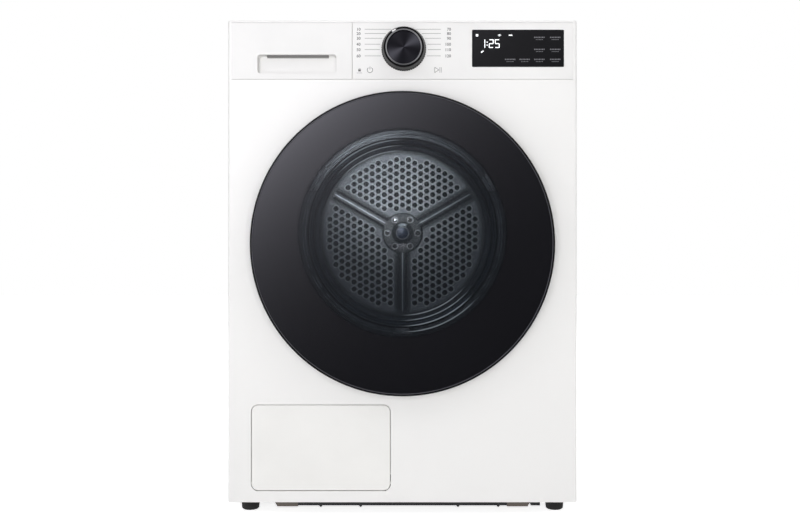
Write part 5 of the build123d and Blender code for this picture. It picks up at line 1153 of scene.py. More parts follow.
def lathe(profile: Sequence[Pair], axis: Vector, segments: int) -> bmesh.types.BMesh:
    """Turns (radius, y) points about the fore-and-aft line through a point.

    Args:
        profile: Points from the axis out and back to the axis, or round a ring's section.
        axis: A point on the line.
        segments: Steps round.

    Returns:
        The mesh.
    """
    shape = bmesh.new()
    rings = []
    for radius, y in profile:
        count = segments if radius > TINY else 1
        places = [on_circle((axis.x, axis.z), radius, FULL_TURN * i / segments) for i in range(count)]
        rings.append([shape.verts.new((x, y, z)) for x, z in places])
    for low, high in zip(rings, rings[1:]):
        for i in range(segments):
            j = (i + 1) % segments
            if len(low) == 1:
                shape.faces.new((low[0], high[i], high[j]))
            elif len(high) == 1:
                shape.faces.new((low[j], low[i], high[0]))
            else:
                shape.faces.new((low[i], high[i], high[j], low[j]))
    for face in shape.faces:
        face.smooth = True
    return shape


# Geometry Nodes kit


class Pattern(Graph):
    """A Geometry Nodes tree that sets one small shape on every point of a mesh."""

    def __init__(self, name: str) -> None:
        """Makes a tree with a geometry input, a geometry output and a material input.

        Args:
            name: The tree's name.
        """
        super().__init__(bpy.data.node_groups.new(name, "GeometryNodeTree"))
        self.values: dict[str, float] = {}
        self.identifiers: dict[str, str] = {}
        self.entry = self.tree.nodes.new("NodeGroupInput")
        self.points = self.input("Geometry", "NodeSocketGeometry")
        self.material = self.input("Material", "NodeSocketMaterial")
        self.tree.interface.new_socket("Geometry", in_out="OUTPUT", socket_type="NodeSocketGeometry")

    def input(self, name: str, kind: str) -> Wire:
        """Adds a named input to the tree.

        Args:
            name: The input's name.
            kind: The type of its socket.

        Returns:
            The input as a wire.
        """
        made = self.tree.interface.new_socket(name, in_out="INPUT", socket_type=kind)
        self.identifiers[name] = made.identifier
        return Wire(self, self.entry.outputs[name])

    def size(self, name: str, value: float) -> Wire:
        """Adds a named size with its value."""
        self.values[name] = value
        return self.input(name, "NodeSocketFloat")

    def push(self, mesh: Wire, by: Any, top: Wire | None = None) -> Wire:
        """Extrudes a mesh, or only its top; the new top is the output beside."""
        chosen = {"Selection": top} if top else {}
        return self.node("GeometryNodeExtrudeMesh", None, {"Mesh": mesh, "Offset Scale": by, **chosen})

    def shrink(self, mesh: Wire, top: Wire, share: Wire) -> Wire:
        """Draws a mesh's top in to a share of its size."""
        inputs = {"Geometry": mesh, "Selection": top, "Scale": share}
        return self.node("GeometryNodeScaleElements", None, inputs)

    def circle(self, name: str, radius: float, steps: int) -> Wire:
        """A circular curve whose radius is a named size."""
        inputs = {"Resolution": steps, "Radius": self.size(name, radius)}
        return self.node("GeometryNodeCurvePrimitiveCircle", None, inputs)

    def scatter(self, shape: Wire) -> None:
        """Sets the shape on every point, turned to the point's facing, and closes the tree.

        Args:
            shape: The small shape.
        """
        facing = self.node(
            "GeometryNodeInputNamedAttribute", {"data_type": "FLOAT_VECTOR"}, {"Name": "facing"}
        )
        turn = self.node("FunctionNodeAlignRotationToVector", {"axis": "Z"}, {"Vector": facing})
        inputs = {"Points": self.points, "Instance": shape, "Rotation": turn}
        set_out = self.node("GeometryNodeInstanceOnPoints", None, inputs)
        real = self.node("GeometryNodeRealizeInstances", None, {0: set_out})
        painted = self.node("GeometryNodeSetMaterial", None, {"Geometry": real, "Material": self.material})
        self.tree.links.new(painted.socket, self.tree.nodes.new("NodeGroupOutput").inputs[0])

    def run(self, name: str, spots: Spots, material: bpy.types.Material) -> bpy.types.Mesh:
        """Runs the tree on spots.

        Args:
            name: The name of the mesh.
            spots: Pairs of place and facing.
            material: What the shapes are made of.

        Returns:
            A plain mesh.
        """
        data = bpy.data.meshes.new(name + "_points")
        data.from_pydata([tuple(place) for place, _ in spots], [], [])
        attribute = data.attributes.new("facing", "FLOAT_VECTOR", "POINT")
        attribute.data.foreach_set("vector", [part for _, facing in spots for part in facing])
        holder = bpy.data.objects.new(name + "_points", data)
        bpy.context.scene.collection.objects.link(holder)
        modifier = holder.modifiers.new("pattern", "NODES")
        modifier.node_group = self.tree
        for key, value in {**self.values, "Material": material}.items():
            modifier[self.identifiers[key]] = value
        graph = bpy.context.evaluated_depsgraph_get()
        made = bpy.data.meshes.new_from_object(holder.evaluated_get(graph))
        made.name = name
        holder.modifiers.clear()
        bpy.data.objects.remove(holder)
        bpy.data.meshes.remove(data)
        return made


@dataclass(frozen=True)
class Screw:
    """A pan-head screw with a recessed drive; its shares are of the head's radius or height."""

    head_r: float
    head_height: float
    sides: int = 14
    wall_share: float = 0.5
    crown_share: float = 0.78
    drive_share: float = 0.52
    drive_depth: float = 0.6

    def pattern(self) -> Pattern:
        """Writes the tree that sets such screws.

        Returns:
            The tree.
        """
        p = Pattern("screws")
        radius = p.size("Head radius", self.head_r)
        height = p.size("Head height", self.head_height)
        crown_share = p.size("Crown share", self.crown_share)
        drive_share = p.size("Drive share", self.drive_share)
        half = height * self.wall_share
        inputs = {"Vertices": self.sides, "Radius": radius}
        disc = p.node("GeometryNodeMeshCircle", {"fill_type": "NGON"}, inputs)
        wall = p.push(disc, half)
        crown = p.push(wall, half, wall.beside("Top"))
        top = crown.beside("Top")
        flat = p.push(p.shrink(crown, top, crown_share), 0.0, top)
        drive = flat.beside("Top")
        recess = p.push(p.shrink(flat, drive, drive_share), height * -self.drive_depth, drive)
        underside = p.node("GeometryNodeFlipFaces", None, {0: disc})
        joined = p.node("GeometryNodeJoinGeometry", None, {0: recess})
        p.tree.links.new(underside.socket, joined.socket.node.inputs[0])
        p.scatter(p.node("GeometryNodeMergeByDistance", None, {0: joined}))
        return p


@dataclass(frozen=True)
class Collar:
    """A rolled bead round a hole: the radius at its middle and half its thickness."""

    ring_r: float
    bead_r: float
    ring_steps: int = 12
    bead_steps: int = 5

    def pattern(self) -> Pattern:
        """Writes the tree that sets such beads.

        Returns:
            The tree.
        """
        p = Pattern("hole_beads")
        ring = p.circle("Ring radius", self.ring_r, self.ring_steps)
        bead = p.circle("Bead radius", self.bead_r, self.bead_steps)
        tube = p.node("GeometryNodeCurveToMesh", None, {"Curve": ring, "Profile Curve": bead})
        p.scatter(p.node("GeometryNodeSetShadeSmooth", None, {0: tube}))
        return p


# Sub-assemblies


@dataclass
class Assembly:
    """A sub-assembly: the finishes of its CAD nodes, and the small pieces that it adds."""

    dresser: Dresser
    FINISHES: ClassVar[dict[str, str]] = {}

    def build(self) -> None:
        """Dresses the nodes and adds the pieces."""
        for node, key in self.FINISHES.items():
            self.dresser.node(node, key)
        self.add_pieces()

    def add_pieces(self) -> None:
        """Adds what the CAD leaves to the looks, where there is anything."""


@dataclass
class Cabinet(Assembly):
    """The sheet-metal case with its rear fixings."""

    screw: Screw = Screw(4.2 * MM, 2.2 * MM)
    edge: float = 12.0 * MM
    rear_sheet: float = 0.8 * MM
    rear_rows: int = 6
    middle_share: float = 0.33
    seam: float = 0.25 * MM
    seam_sunk: float = 0.05 * MM
    seam_depth: float = 2.0 * MM
    FINISHES: ClassVar[dict[str, str]] = {
        "side_panel_left": "white_paint",
        "side_panel_right": "white_paint",
        "top_panel": "white_paint",
        "front_panel": "white_paint",
        "rear_panel": "grey_galvanised",
        "front_crossbar": "grey_galvanised",
        "base_tray": "base_black",
        "base_skids": "skid_brown",
        "cord_gland": "pump_plastic",
        "drain_spigot": "pump_plastic",
        "foot_front_left": "foot_rubber",
        "foot_front_right": "foot_rubber",
        "foot_rear_left": "foot_rubber",
        "foot_rear_right": "foot_rubber",
    }

    def add_pieces(self) -> None:
        """Drives the rear screws, and fills the narrow upright joints beside the front with white sheets,
        painted light over their shade.
        """
        self.dresser.scatter(
            "rear_screws", self.screw.pattern(), self.rear_spots(), "screw_zinc", Body.CABINET, "hinge_metal"
        )
        low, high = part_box("front_panel")
        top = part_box("control_fascia")[1].z
        # painted light: white sheets that hide the shade of the joints
        paint = Slab(FRONT_Y + self.seam_sunk, FRONT_Y + self.seam_depth)
        for inner, outer in ((low.x, low.x - self.seam), (high.x, high.x + self.seam)):
            paint.block((inner, low.z), (outer, top))
        self.dresser.piece("seam_painted_light", paint.shape, "white_paint", Body.CABINET, "white_paint")

    def rear_spots(self) -> Spots:
        """Screws up both rear edges and along the top and bottom of the rear panel.

        Returns:
            The screws' places and facings.
        """
        low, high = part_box("rear_panel")
        left, right = low.x + self.edge, high.x - self.edge
        foot, top = low.z + self.edge, high.z - self.edge
        places = []
        for row in range(self.rear_rows):
            z = foot + (top - foot) * row / (self.rear_rows - 1)
            places += [(left, z), (right, z)]
        for share in (-self.middle_share, self.middle_share):
            x = (high.x - low.x) * share
            places += [(x, foot), (x, top)]
        return [(Vector((x, REAR_Y + self.rear_sheet, z)), BACKWARD) for x, z in places]


@dataclass
class Works(Assembly):
    """The drive, the air path and the heat pump inside the case."""

    FINISHES: ClassVar[dict[str, str]] = {
        "front_bulkhead": "duct_grey",
        "front_air_duct": "duct_grey",
        "lint_filter": "filter_plastic",
        "drum_lamp": "lamp_lens",
        "moisture_sensor_bars": "sensor_steel",
        "roller_left": "roller_rubber",
        "roller_right": "roller_rubber",
        "drive_belt": "belt_rubber",
        "idler_bracket": "hinge_metal",
        "idler_pulley": "pump_plastic",
        "motor_housing": "motor_iron",
        "motor_rotor": "bearing_steel",
        "blower_wheel": "duct_grey",
        "blower_housing": "duct_grey",
        "rear_duct": "pump_plastic",
        "compressor": "compressor_black",
        "refrigerant_circuit": "coil_aluminium",
        "heat_exchanger_cover": "duct_grey",
        "condensate_pump": "pump_plastic",
        "drain_hose": "hose_rubber",
    }


@dataclass
class Drum(Assembly):
    """The drum with the rolled beads of its perforated back and the hub's screws."""

    pitch: float = 15.7 * MM
    hole_r: float = 6.4 * MM
    hole_bead: Collar = Collar(7.1 * MM, 0.72 * MM)
    field_r: float = 174.0 * MM
    hub_r: float = 46.0 * MM
    land: float = 3.0 * MM
    spoke_half: float = 11.0 * MM
    screw: Screw = Screw(4.6 * MM, 2.6 * MM)
    screw_ring_r: float = 34.0 * MM
    screw_count: int = 6
    screw_rim: Collar = Collar(6.6 * MM, 0.7 * MM)
    recess_lift: float = 4.5 * MM
    plate_lift: float = 7.0 * MM
    FINISHES: ClassVar[dict[str, str]] = {
        "drum_shell": "drum_steel",
        "drum_back": "back_steel",
        "drum_hub": "hub_steel",
        "drum_spider": "cast_grey",
        "drum_lifters": "lifter_plastic",
        "drum_felt_rings": "felt",
        "shaft_bearing": "bearing_steel",
    }

    def add_pieces(self) -> None:
        """Adds the beads of the holes, and the hub's screws with their rims."""
        screws = self.screw_spots(self.recess_lift)
        rims = self.screw_spots(self.plate_lift)
        for name, shape, spots, key, slot in (
            ("hole_beads", self.hole_bead, self.hole_spots(), "bead_steel", "drum_steel"),
            ("hub_screws", self.screw, screws, "bearing_steel", "hub_steel"),
            ("hub_rims", self.screw_rim, rims, "bead_steel", "hub_steel"),
        ):
            self.dresser.scatter(name, shape.pattern(), spots, key, Body.DRUM, slot)

    def in_field(self, x: float, z: float) -> bool:
        """Whether a hole fits between the hub and the rim, and off the pressed spokes.

        Args:
            x: Its offset from the drum's axis.
            z: The same, upwards.

        Returns:
            True where it fits.
        """
        if not self.hub_r + self.hole_r + self.land < math.hypot(x, z) < self.field_r - self.hole_r:
            return False
        for angle in map(math.radians, SPOKES_DEG):
            along = x * math.cos(angle) + z * math.sin(angle)
            across = abs(z * math.cos(angle) - x * math.sin(angle))
            if along > 0 and across <= self.spoke_half + self.hole_r + self.land:
                return False
        return True

    def hole_spots(self) -> Spots:
        """The staggered hole centres of the drum back, on its front face.

        Returns:
            The beads' places and facings.
        """
        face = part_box("drum_back")[0].y
        most = int(2 * self.field_r / self.pitch) + 1
        steps = range(-most, most + 1)
        grid = (
            (column * self.pitch * math.sqrt(3) / 2, row * self.pitch / 2)
            for column in steps
            for row in steps
            if (column + row) % 2 == 0
        )
        holes = [(x, z) for x, z in grid if self.in_field(x, z)]
        return [(Vector((DRUM_AXIS.x + x, face, DRUM_AXIS.z + z)), FORWARD) for x, z in holes]

    def screw_spots(self, lift: float) -> Spots:
        """The places of the hub's screws, so far in front of the drum's back.

        Args:
            lift: The distance from the back's front face.

        Returns:
            The screws' places and facings.
        """
        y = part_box("drum_back")[0].y - lift
        angles = (FULL_TURN * i / self.screw_count for i in range(self.screw_count))
        ring = [on_circle((DRUM_AXIS.x, DRUM_AXIS.z), self.screw_ring_r, angle) for angle in angles]
        return [(Vector((x, y, z)), FORWARD) for x, z in ring]


@dataclass
class Door(Assembly):
    """The round door with its smoked glass and glass bowl."""

    screw: Screw = Screw(3.2 * MM, 1.6 * MM)
    screw_ring_r: float = 196.0 * MM
    screw_count: int = 10
    hinge_keep_clear: float = 60.0 * MM
    trim_r: float = 252.7 * MM
    trim_bead: float = 0.6 * MM
    trim_sunk: float = 0.4
    bowl_beads: tuple[Pair, ...] = (
        (169.0 * MM, -312.1 * MM),
        (161.0 * MM, -289.9 * MM),
        (153.7 * MM, -260.8 * MM),
        (146.0 * MM, -242.8 * MM),
    )
    bowl_bead_r: float = 0.7 * MM
    bead_steps: int = 8
    bead_segments: int = 192
    bead_weld: float = 1e-6
    FINISHES: ClassVar[dict[str, str]] = {
        "door_glass": "door_glass",
        "door_rim": "door_rim",
        "door_back": "door_frame",
        "door_bowl": "bowl_glass",
        "door_hinge_arm": "hinge_metal",
        "hinge_bracket": "hinge_metal",
        "door_striker": "hinge_metal",
        "door_latch": "pump_plastic",
        "door_seal": "seal_rubber",
    }

    def add_pieces(self) -> None:
        """Sets the inner frame's screws, the bead round the glass and the bowl's moulded beads with their
        painted glints.
        """
        self.dresser.scatter(
            "door_screws", self.screw.pattern(), self.screw_spots(), "screw_zinc", Body.DOOR, "hinge_metal"
        )
        low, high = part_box("door_rim")
        rim = Vector((0.0, low.y + self.trim_sunk * self.trim_bead, (low.z + high.z) / 2))
        trim = self.bead(rim, self.trim_r, self.trim_bead)
        self.dresser.piece("door_trim", trim, "trim_grey", Body.DOOR, "door_rim")
        # the bowl's beads carry painted highlights (glints) that also glow a little
        for number, (radius, y) in enumerate(self.bowl_beads, 1):
            ring = self.bead(Vector((DRUM_AXIS.x, y, DRUM_AXIS.z)), radius, self.bowl_bead_r)
            self.dresser.piece(f"bowl_bead_{number}", ring, "bowl_bead", Body.DOOR, "bowl_glass")

    def bead(self, centre: Vector, radius: float, thick: float) -> bmesh.types.BMesh:
        """A ring of round section about the fore-and-aft line.

        Args:
            centre: Its middle.
            radius: From the middle to the bead.
            thick: Half the bead's thickness.

        Returns:
            The ring's mesh.
        """
        turns = [FULL_TURN * i / self.bead_steps for i in range(self.bead_steps + 1)]
        profile = [(radius + thick * math.cos(t), centre.y - thick * math.sin(t)) for t in turns]
        shape = lathe(profile, centre, self.bead_segments)
        bmesh.ops.remove_doubles(shape, verts=shape.verts, dist=self.bead_weld)
        return shape

    def screw_spots(self) -> Spots:
        """A ring of screws on the frame's rear face, clear of the hinge.

        Returns:
            The screws' places and facings.
        """
        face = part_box("door_back")[1].y
        angles = (FULL_TURN * (i + 0.5) / self.screw_count for i in range(self.screw_count))
        ring = [on_circle((DRUM_AXIS.x, DRUM_AXIS.z), self.screw_ring_r, angle) for angle in angles]
        clear = self.screw_ring_r - self.hinge_keep_clear
        return [(Vector((x, face, z)), BACKWARD) for x, z in ring if x < clear]


@dataclass
class ControlPanel(Assembly):
    """The fascia with its dial figures, the knob and the display."""

    relief: float = 0.03 * MM
    figure_size: float = 7.0 * MM
    figure_drop: float = 0.36
    stroke: float = 0.62 * MM
    lead_gap: float = 3.0 * MM
    lead_left_x: float = -65.0 * MM
    lead_right_x: float = 66.0 * MM
    left_x: float = -79.0 * MM
    right_x: float = 83.4 * MM
    rows_z: tuple[float, ...] = (0.8351, 0.8278, 0.8196, 0.8094, 0.8001, 0.7893)
    left_figures: tuple[str, ...] = ("10", "20", "30", "40", "50", "60")
    right_figures: tuple[str, ...] = ("70", "80", "90", "100", "110", "120")
    icon_z: float = 0.7652
    power_x: float = -55.9 * MM
    power_r: float = 4.6 * MM
    power_stroke: float = 0.9 * MM
    power_ring_deg: Pair = (125.0, 415.0)
    power_stem: Pair = (0.2, 1.25)
    lock_x: float = -73.9 * MM
    lock_half: float = 2.2 * MM
    lock_top: float = 0.8 * MM
    lock_foot: float = 2.6 * MM
    shackle_r: float = 1.7 * MM
    shackle_deg: Pair = (0.0, 180.0)
    lock_stroke: float = 0.55 * MM
    lock_line: float = 5.2 * MM
    start_x: float = 61.0 * MM
    start_half: float = 4.6 * MM
    start_stroke: float = 0.7 * MM
    start_tip: float = 1.5 * MM
    start_side: float = 5.6 * MM
    pause_x: Pair = (3.2 * MM, 5.6 * MM)
    cap_sunk: float = 1.0 * MM
    cap_rim: float = 0.8 * MM
    cap_margin: float = 1.0 * MM
    groove_pitch: float = 0.42 * MM
    groove_depth: float = 0.045 * MM
    groove_steps: int = 4
    cap_segments: int = 160
    index_deg: float = 121.0
    index_r: float = 32.7 * MM
    index_length: float = 7.0 * MM
    index_width: float = 2.2 * MM
    index_relief: float = 0.2 * MM
    digit_height: float = 14.6 * MM
    digit_width: float = 8.2 * MM
    digit_stroke: float = 1.35 * MM
    digit_gap: float = 0.15
    digit_z: float = 0.8031
    digits: tuple[tuple[str, float], ...] = (("1", 0.1340), ("2", 0.1484), ("5", 0.1588))
    colon_x: Pair = (0.1447, 0.1464)
    colon_width: float = 1.7 * MM
    colon_shares: Pair = (0.33, 0.67)
    marks: tuple[tuple[Pair, Pair, float], ...] = (
        ((0.1262, 0.8248), (0.1300, 0.8248), 3.8 * MM),
        ((0.1828, 0.8248), (0.1888, 0.8248), 1.8 * MM),
        ((0.1352, 0.7952), (0.1392, 0.7980), 2.0 * MM),
    )
    waves_at: Pair = (0.1668, 0.8225)
    waves: tuple[tuple[float, int], ...] = ((3.2 * MM, 12), (1.3 * MM, 8))
    waves_stroke: float = 0.9 * MM
    waves_deg: Pair = (40.0, 140.0)
    key_places: tuple[Pair, ...] = (
        (0.2353, 0.8212), (0.2625, 0.8212), (0.2353, 0.8006), (0.2625, 0.8006),
        (0.2353, 0.7834), (0.2625, 0.7834), (0.2100, 0.7834), (0.1850, 0.7834),
    )
    key_blocks: tuple[float, ...] = (2.4, 1.5, 1.5, 2.0, 1.2, 2.2, 1.6)
    key_gap: float = 0.9 * MM
    key_height: float = 2.1 * MM
    key_second: float = 3.9 * MM
    SEGMENTS: ClassVar[dict[str, str]] = {"1": "bc", "2": "abged", "5": "afgcd"}
    FINISHES: ClassVar[dict[str, str]] = {
        "control_fascia": "white_plastic",
        "display_window": "display_glass",
        "control_board": "board_green",
        "knob_body": "knob_black",
        "knob_ring": "knob_chrome",
    }

    def add_pieces(self) -> None:
        """Adds the printing, the turned cap with its index and the lit figures."""
        self.print_fascia()
        self.turn_cap()
        self.mark_index()
        self.light_display()

    def print_fascia(self) -> None:
        """Prints the dial's figures, their leader lines and the three touch symbols."""
        ink = Slab(FRONT_Y - 2 * self.relief, FRONT_Y)
        drop = self.figure_drop * self.figure_size
        knob_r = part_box("knob_body")[1].x - KNOB_AXIS.x
        for z, left, right in zip(self.rows_z, self.left_figures, self.right_figures):
            ink.figures(left, (self.left_x, z - drop), self.figure_size, Align.LEFT)
            ink.figures(right, (self.right_x, z - drop), self.figure_size, Align.RIGHT)
            start = math.sqrt(max(0.0, knob_r ** 2 - (z - KNOB_AXIS.z) ** 2)) + self.lead_gap
            ink.bar((self.lead_left_x, z), (KNOB_AXIS.x - start, z), self.stroke)
            ink.bar((KNOB_AXIS.x + start, z), (self.lead_right_x, z), self.stroke)
        self.power_symbol(ink)
        self.lock_symbol(ink)
        self.start_symbol(ink)
        self.dresser.piece("fascia_print", ink.shape, "print_grey", Body.CABINET, "white_plastic")

    def power_symbol(self, ink: Slab) -> None:
        """A broken ring with an upright stroke.

        Args:
            ink: The slab to draw in.
        """
        x, z = self.power_x, self.icon_z
        foot, top = (z + share * self.power_r for share in self.power_stem)
        ink.arc((x, z), self.power_r, self.power_stroke, self.power_ring_deg)
        ink.bar((x, foot), (x, top), self.power_stroke)

    def lock_symbol(self, ink: Slab) -> None:
        """A padlock with a stroke under it.

        Args:
            ink: The slab to draw in.
        """
        x, half = self.lock_x, self.lock_half
        top, foot, line = (self.icon_z + d for d in (self.lock_top, -self.lock_foot, -self.lock_line))
        ink.arc((x, top), self.shackle_r, self.lock_stroke, self.shackle_deg)
        ink.block((x - half, foot), (x + half, top))
        ink.bar((x - 2 * half, line), (x + 2 * half, line), self.lock_stroke)

    def start_symbol(self, ink: Slab) -> None:
        """A triangle beside two upright strokes.

        Args:
            ink: The slab to draw in.
        """
        x, z = self.start_x, self.icon_z
        foot, top = z - self.start_half, z + self.start_half
        side = x - self.start_side
        corners = [(side, top), (x + self.start_tip, z), (side, foot)]
        for first, second in zip(corners, corners[1:] + corners[:1]):
            ink.bar(first, second, self.start_stroke)
        for offset in self.pause_x:
            ink.bar((x + offset, foot), (x + offset, top), self.start_stroke)

    def turn_cap(self) -> None:
        """Replaces the knob's plain cap with a finely turned one."""
        low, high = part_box("knob_cap")
        radius = high.x - KNOB_AXIS.x
        front = low.y + self.cap_sunk
        count = int((radius - self.cap_margin) / self.groove_pitch)
        profile = [(0.0, high.y), (radius, high.y), (radius, low.y), (radius - self.cap_rim, low.y)]
        for index in range(count * self.groove_steps, 0, -1):
            turns = index / self.groove_steps
            wave = 0.5 - 0.5 * math.cos(FULL_TURN * turns)
            profile.append((turns * self.groove_pitch, front - wave * self.groove_depth))
        profile.append((0.0, front))
        shape = lathe(profile, KNOB_AXIS, self.cap_segments)
        cap = self.dresser.piece("turned_cap", shape, "knob_brushed", Body.KNOB, "knob_brushed")
        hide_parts("knob_cap")

    def mark_index(self) -> None:
        """Sets the index bar into the knob's front, across its radius."""
        angle = math.radians(self.index_deg)
        middle = Vector(on_circle((KNOB_AXIS.x, KNOB_AXIS.z), self.index_r, angle))
        tangent = Vector((-math.sin(angle), math.cos(angle))) * self.index_length / 2
        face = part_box("knob_body")[0].y
        index = Slab(face - self.index_relief, face + self.index_relief)
        index.bar(tuple(middle - tangent), tuple(middle + tangent), self.index_width)
        self.dresser.piece("knob_index", index.shape, "index_white", Body.KNOB, "knob_chrome")

    def digit(self, lit: Slab, figure: str, x: float) -> None:
        """Adds one seven-segment figure.

        Args:
            lit: The slab to draw in.
            figure: Which figure.
            x: Its left edge.
        """
        half, gap = self.digit_stroke / 2, self.digit_gap * self.digit_stroke
        left, right = x + half, x + self.digit_width - half
        foot, top = self.digit_z, self.digit_z + self.digit_height
        middle = (foot + top) / 2
        ends = {
            "a": ((left + gap, top - half), (right - gap, top - half)),
            "g": ((left + gap, middle), (right - gap, middle)),
            "d": ((left + gap, foot + half), (right - gap, foot + half)),
            "f": ((left, middle + gap), (left, top - gap)),
            "e": ((left, foot + gap), (left, middle - gap)),
            "b": ((right, middle + gap), (right, top - gap)),
            "c": ((right, foot + gap), (right, middle - gap)),
        }
        for segment in self.SEGMENTS[figure]:
            lit.bar(*ends[segment], self.digit_stroke)

    def light_display(self) -> None:
        """Lights the remaining time, a few plain marks and the dim touch keys."""
        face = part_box("display_window")[0].y
        lit, dim = (Slab(face - 2 * self.relief, face) for _ in range(2))
        for figure, x in self.digits:
            self.digit(lit, figure, x)
        first, second = self.colon_x
        for share in self.colon_shares:
            z = self.digit_z + share * self.digit_height
            lit.bar((first, z), (second, z), self.colon_width)
        for start, end, width in self.marks:
            lit.bar(start, end, width)
        for radius, steps in self.waves:
            lit.arc(self.waves_at, radius, self.waves_stroke, self.waves_deg, steps)
        self.dresser.piece("lit_figures", lit.shape, "lit_white", Body.CABINET, "display_glass")
        for x, z in self.key_places:
            self.blocks(dim, (x, z), self.key_blocks, self.key_height)
            self.blocks(dim, (x, z - self.key_second), self.key_blocks[1:-1], self.key_height / 2)
        self.dresser.piece("dim_keys", dim.shape, "lit_dim", Body.CABINET, "display_glass")

    def blocks(self, dim: Slab, middle: Pair, widths: Sequence[float], height: float) -> None:
        """Adds a centred row of plain blocks, which mark a touch key without a word.

        Args:
            dim: The slab to draw in.
            middle: The row's middle.
            widths: The blocks' widths in millimetres.
            height: The blocks' height.
        """
        x, z = middle
        start = x - (sum(widths) * MM + (len(widths) - 1) * self.key_gap) / 2
        for width in widths:
            dim.bar((start, z), (start + width * MM, z), height)
            start += width * MM + self.key_gap


@dataclass
class WaterDrawer(Assembly):
    """The condensate drawer at the upper left and the service flap below."""

    grip_x: float = -181.5 * MM
    slot_width: float = 108.0 * MM
    slot_z: float = 791.75 * MM
    slot_rise: float = 9.0 * MM
    slot_drop: float = 3.2 * MM
    slot_depth: float = 20.6 * MM
    shade_sheet_gap: float = 0.4 * MM
    shade_sheet_thick: float = 0.5 * MM
    FINISHES: ClassVar[dict[str, str]] = {
        "tank_front": "white_plastic",
        "water_tank": "tank_plastic",
        "tank_tray": "duct_grey",
        "service_flap": "flap_plastic",
    }

    def add_pieces(self) -> None:
        """Puts a dark sheet at the back of the drawer's grip: painted shade for the grip's shadowed
        undercut.
        """
        half = self.slot_width / 2 - self.shade_sheet_gap
        back = FRONT_Y + self.slot_depth
        # painted shade: a dark sheet where the undercut lies in shadow
        shade_sheet = Slab(back - self.shade_sheet_thick, back)
        foot, top = self.slot_z - self.slot_drop, self.slot_z + self.slot_rise
        shade_sheet.block((self.grip_x - half, foot), (self.grip_x + half, top))
        self.dresser.piece("grip_shade_sheet", shade_sheet.shape, "grip_painted_shade", Body.DRAWER, "white_plastic")


# Studio


@dataclass(frozen=True)
class Lamp:
    """An area lamp that looks at a target."""

    name: str
    place: Point
    target: Point
    size: float
    watts: float
    colour: Colour = WHITE
    spread_deg: float = 180.0
    in_gloss: bool = True

    def hang(self) -> None:
        """Puts the lamp into the scene."""
        data = bpy.data.lights.new(self.name, "AREA")
        data.size = self.size
        data.spread = math.radians(self.spread_deg)
        data.energy = self.watts
        data.color = self.colour
        made = bpy.data.objects.new(self.name, data)
        made.location = self.place
        gaze = Vector(self.target) - Vector(self.place)
        made.rotation_euler = gaze.to_track_quat("-Z", "Y").to_euler()
        made.visible_glossy = self.in_gloss
        bpy.context.scene.collection.objects.link(made)


LAMPS = (
    Lamp("front", (-0.08, -3.0, 0.36), (0.0, -0.3, 0.45), 1.6, 56.5, in_gloss=False),
    Lamp("key", (-1.8, -2.0, 1.9), (0.0, -0.2, 0.45), 1.0, 4.0),
    Lamp("fill", (1.5, -1.9, 2.3), (0.0, -0.2, 0.6), 0.7, 4.0),
    Lamp("back", (0.4, 2.4, 2.2), (0.0, 0.2, 0.4), 2.0, 30.0),
    Lamp("drum_light", (-0.03, -0.225, 0.668), (0.0, 0.25, 0.50), 0.05, 0.66, (0.86, 0.94, 1.0)),
    Lamp("drum_fill", (-0.09, -0.215, 0.60), (-0.02, 0.25, 0.585), 0.10, 0.20, (0.90, 0.96, 1.0), 44.0),
)


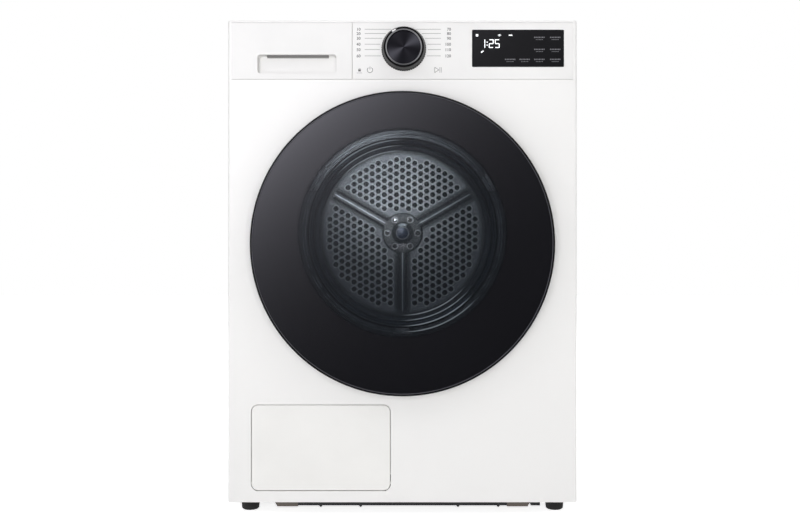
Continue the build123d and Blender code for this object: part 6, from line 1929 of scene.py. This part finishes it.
@dataclass
class Studio:
    """Camera, world, floor, lamps and the graded card that the door's gloss shows."""

    camera_distance: float = 1.80
    camera_height: float = 0.484
    lens: float = 47.12
    sensor: float = 36.0
    shift_x: float = -0.0031
    shift_y: float = -0.0400
    world_level: float = 0.30
    floor_half: float = 6.0
    floor_cloud: Noise = Noise(2.0)
    floor_shades: tuple[Colour, Colour] = ((0.93, 0.93, 0.93), (0.95, 0.95, 0.95))
    floor_roughness: float = 0.8
    floor_glow: float = 0.80
    card_behind: float = 1.2
    card_half: float = 4.0
    card_z: Pair = (-3.0, 4.0)
    card_colour: Colour = (0.98, 0.965, 1.09)
    card_rise: float = 2.4
    card_lift: float = 0.02
    card_slope: float = 2.0
    card_drop: float = 1.45
    card_limit: float = 2.8

    def build(self) -> None:
        """Sets up everything round the dryer."""
        bpy.context.scene.view_settings.view_transform = "Standard"
        self.camera()
        self.world()
        self.floor()
        self.reflector()
        for lamp in LAMPS:
            lamp.hang()

    def camera(self) -> None:
        """A level camera in front of the door."""
        data = bpy.data.cameras.new("camera")
        data.lens = self.lens
        data.sensor_width = self.sensor
        data.shift_x = self.shift_x
        data.shift_y = self.shift_y
        made = bpy.data.objects.new("camera", data)
        made.location = (0.0, FRONT_Y - self.camera_distance, self.camera_height)
        made.rotation_euler = (math.pi / 2, 0.0, 0.0)
        bpy.context.scene.collection.objects.link(made)
        bpy.context.scene.camera = made

    def world(self) -> None:
        """White where the camera, gloss or glass looks, and plain soft light elsewhere."""
        g = Shading(bpy.data.worlds.new("studio"))
        seen = g.node("ShaderNodeLightPath", out="Is Camera Ray")
        for ray in ("Is Transmission Ray", "Is Glossy Ray"):
            seen = g.math("MAXIMUM", seen, g.node("ShaderNodeLightPath", out=ray))
        soft, white = (
            g.node("ShaderNodeBackground", None, {"Color": WHITE, "Strength": level})
            for level in (self.world_level, 1.0)
        )
        bpy.context.scene.world = g.finish(g.blend(seen, soft, white))

    def sheet(self, name: str, corners: Sequence[Point]) -> bpy.types.Object:
        """Lays a flat stage sheet.

        Args:
            name: The sheet's name.
            corners: Its four corners in order.

        Returns:
            The new object.
        """
        data = bpy.data.meshes.new(name)
        data.from_pydata(list(corners), [], [range(len(corners))])
        made = bpy.data.objects.new(name, data)
        bpy.context.scene.collection.objects.link(made)
        return made

    def floor(self) -> None:
        """Lays a pale floor that keeps the dryer's shadow."""
        half = self.floor_half
        made = self.sheet("floor", [(-half, -half, 0), (half, -half, 0), (half, half, 0), (-half, half, 0)])
        g = Shading(bpy.data.materials.new("pale_floor"))
        colour = g.mix(g.noise(self.floor_cloud), *self.floor_shades)
        ground = g.principled({"Base Color": colour, "Roughness": self.floor_roughness})
        glow = g.node("ShaderNodeLightPath", out="Is Camera Ray") * self.floor_glow
        white = g.node("ShaderNodeEmission", None, {"Color": WHITE, "Strength": glow})
        made.data.materials.append(g.finish(g.node("ShaderNodeAddShader", None, {0: ground, 1: white})))
        made.visible_glossy = False

    def reflector(self) -> None:
        """Hangs a card behind the camera that only gloss sees: pale upper left, dark lower right."""
        y = FRONT_Y - self.camera_distance - self.card_behind
        half = self.card_half
        foot, top = self.card_z
        corners = [(-half, y, foot), (half, y, foot), (half, y, top), (-half, y, top)]
        made = self.sheet("graded_card", corners)
        g = Shading(bpy.data.materials.new("graded_card"))
        x, z = g.off_axis(DRUM_AXIS)
        power = self.card_rise * (z + self.card_lift) - self.card_slope * x - self.card_drop
        level = g.math("MINIMUM", math.e ** power, self.card_limit)
        inputs = {"Color": self.card_colour, "Strength": level}
        made.data.materials.append(g.finish(g.node("ShaderNodeEmission", None, inputs)))
        made.visible_camera = False
        made.visible_diffuse = False
        made.visible_shadow = False
        made.visible_transmission = False


def main() -> None:
    """Builds the dryer's looks and the studio round it."""
    logging.basicConfig(level=logging.INFO, format="%(name)s: %(message)s")
    dresser = Dresser()
    for assembly in (
        Cabinet(dresser),
        Works(dresser),
        Drum(dresser),
        Door(dresser),
        ControlPanel(dresser),
        WaterDrawer(dresser),
    ):
        LOG.info("building %s", type(assembly).__name__)
        assembly.build()
    Studio().build()


if __name__ == "__main__":
    main()
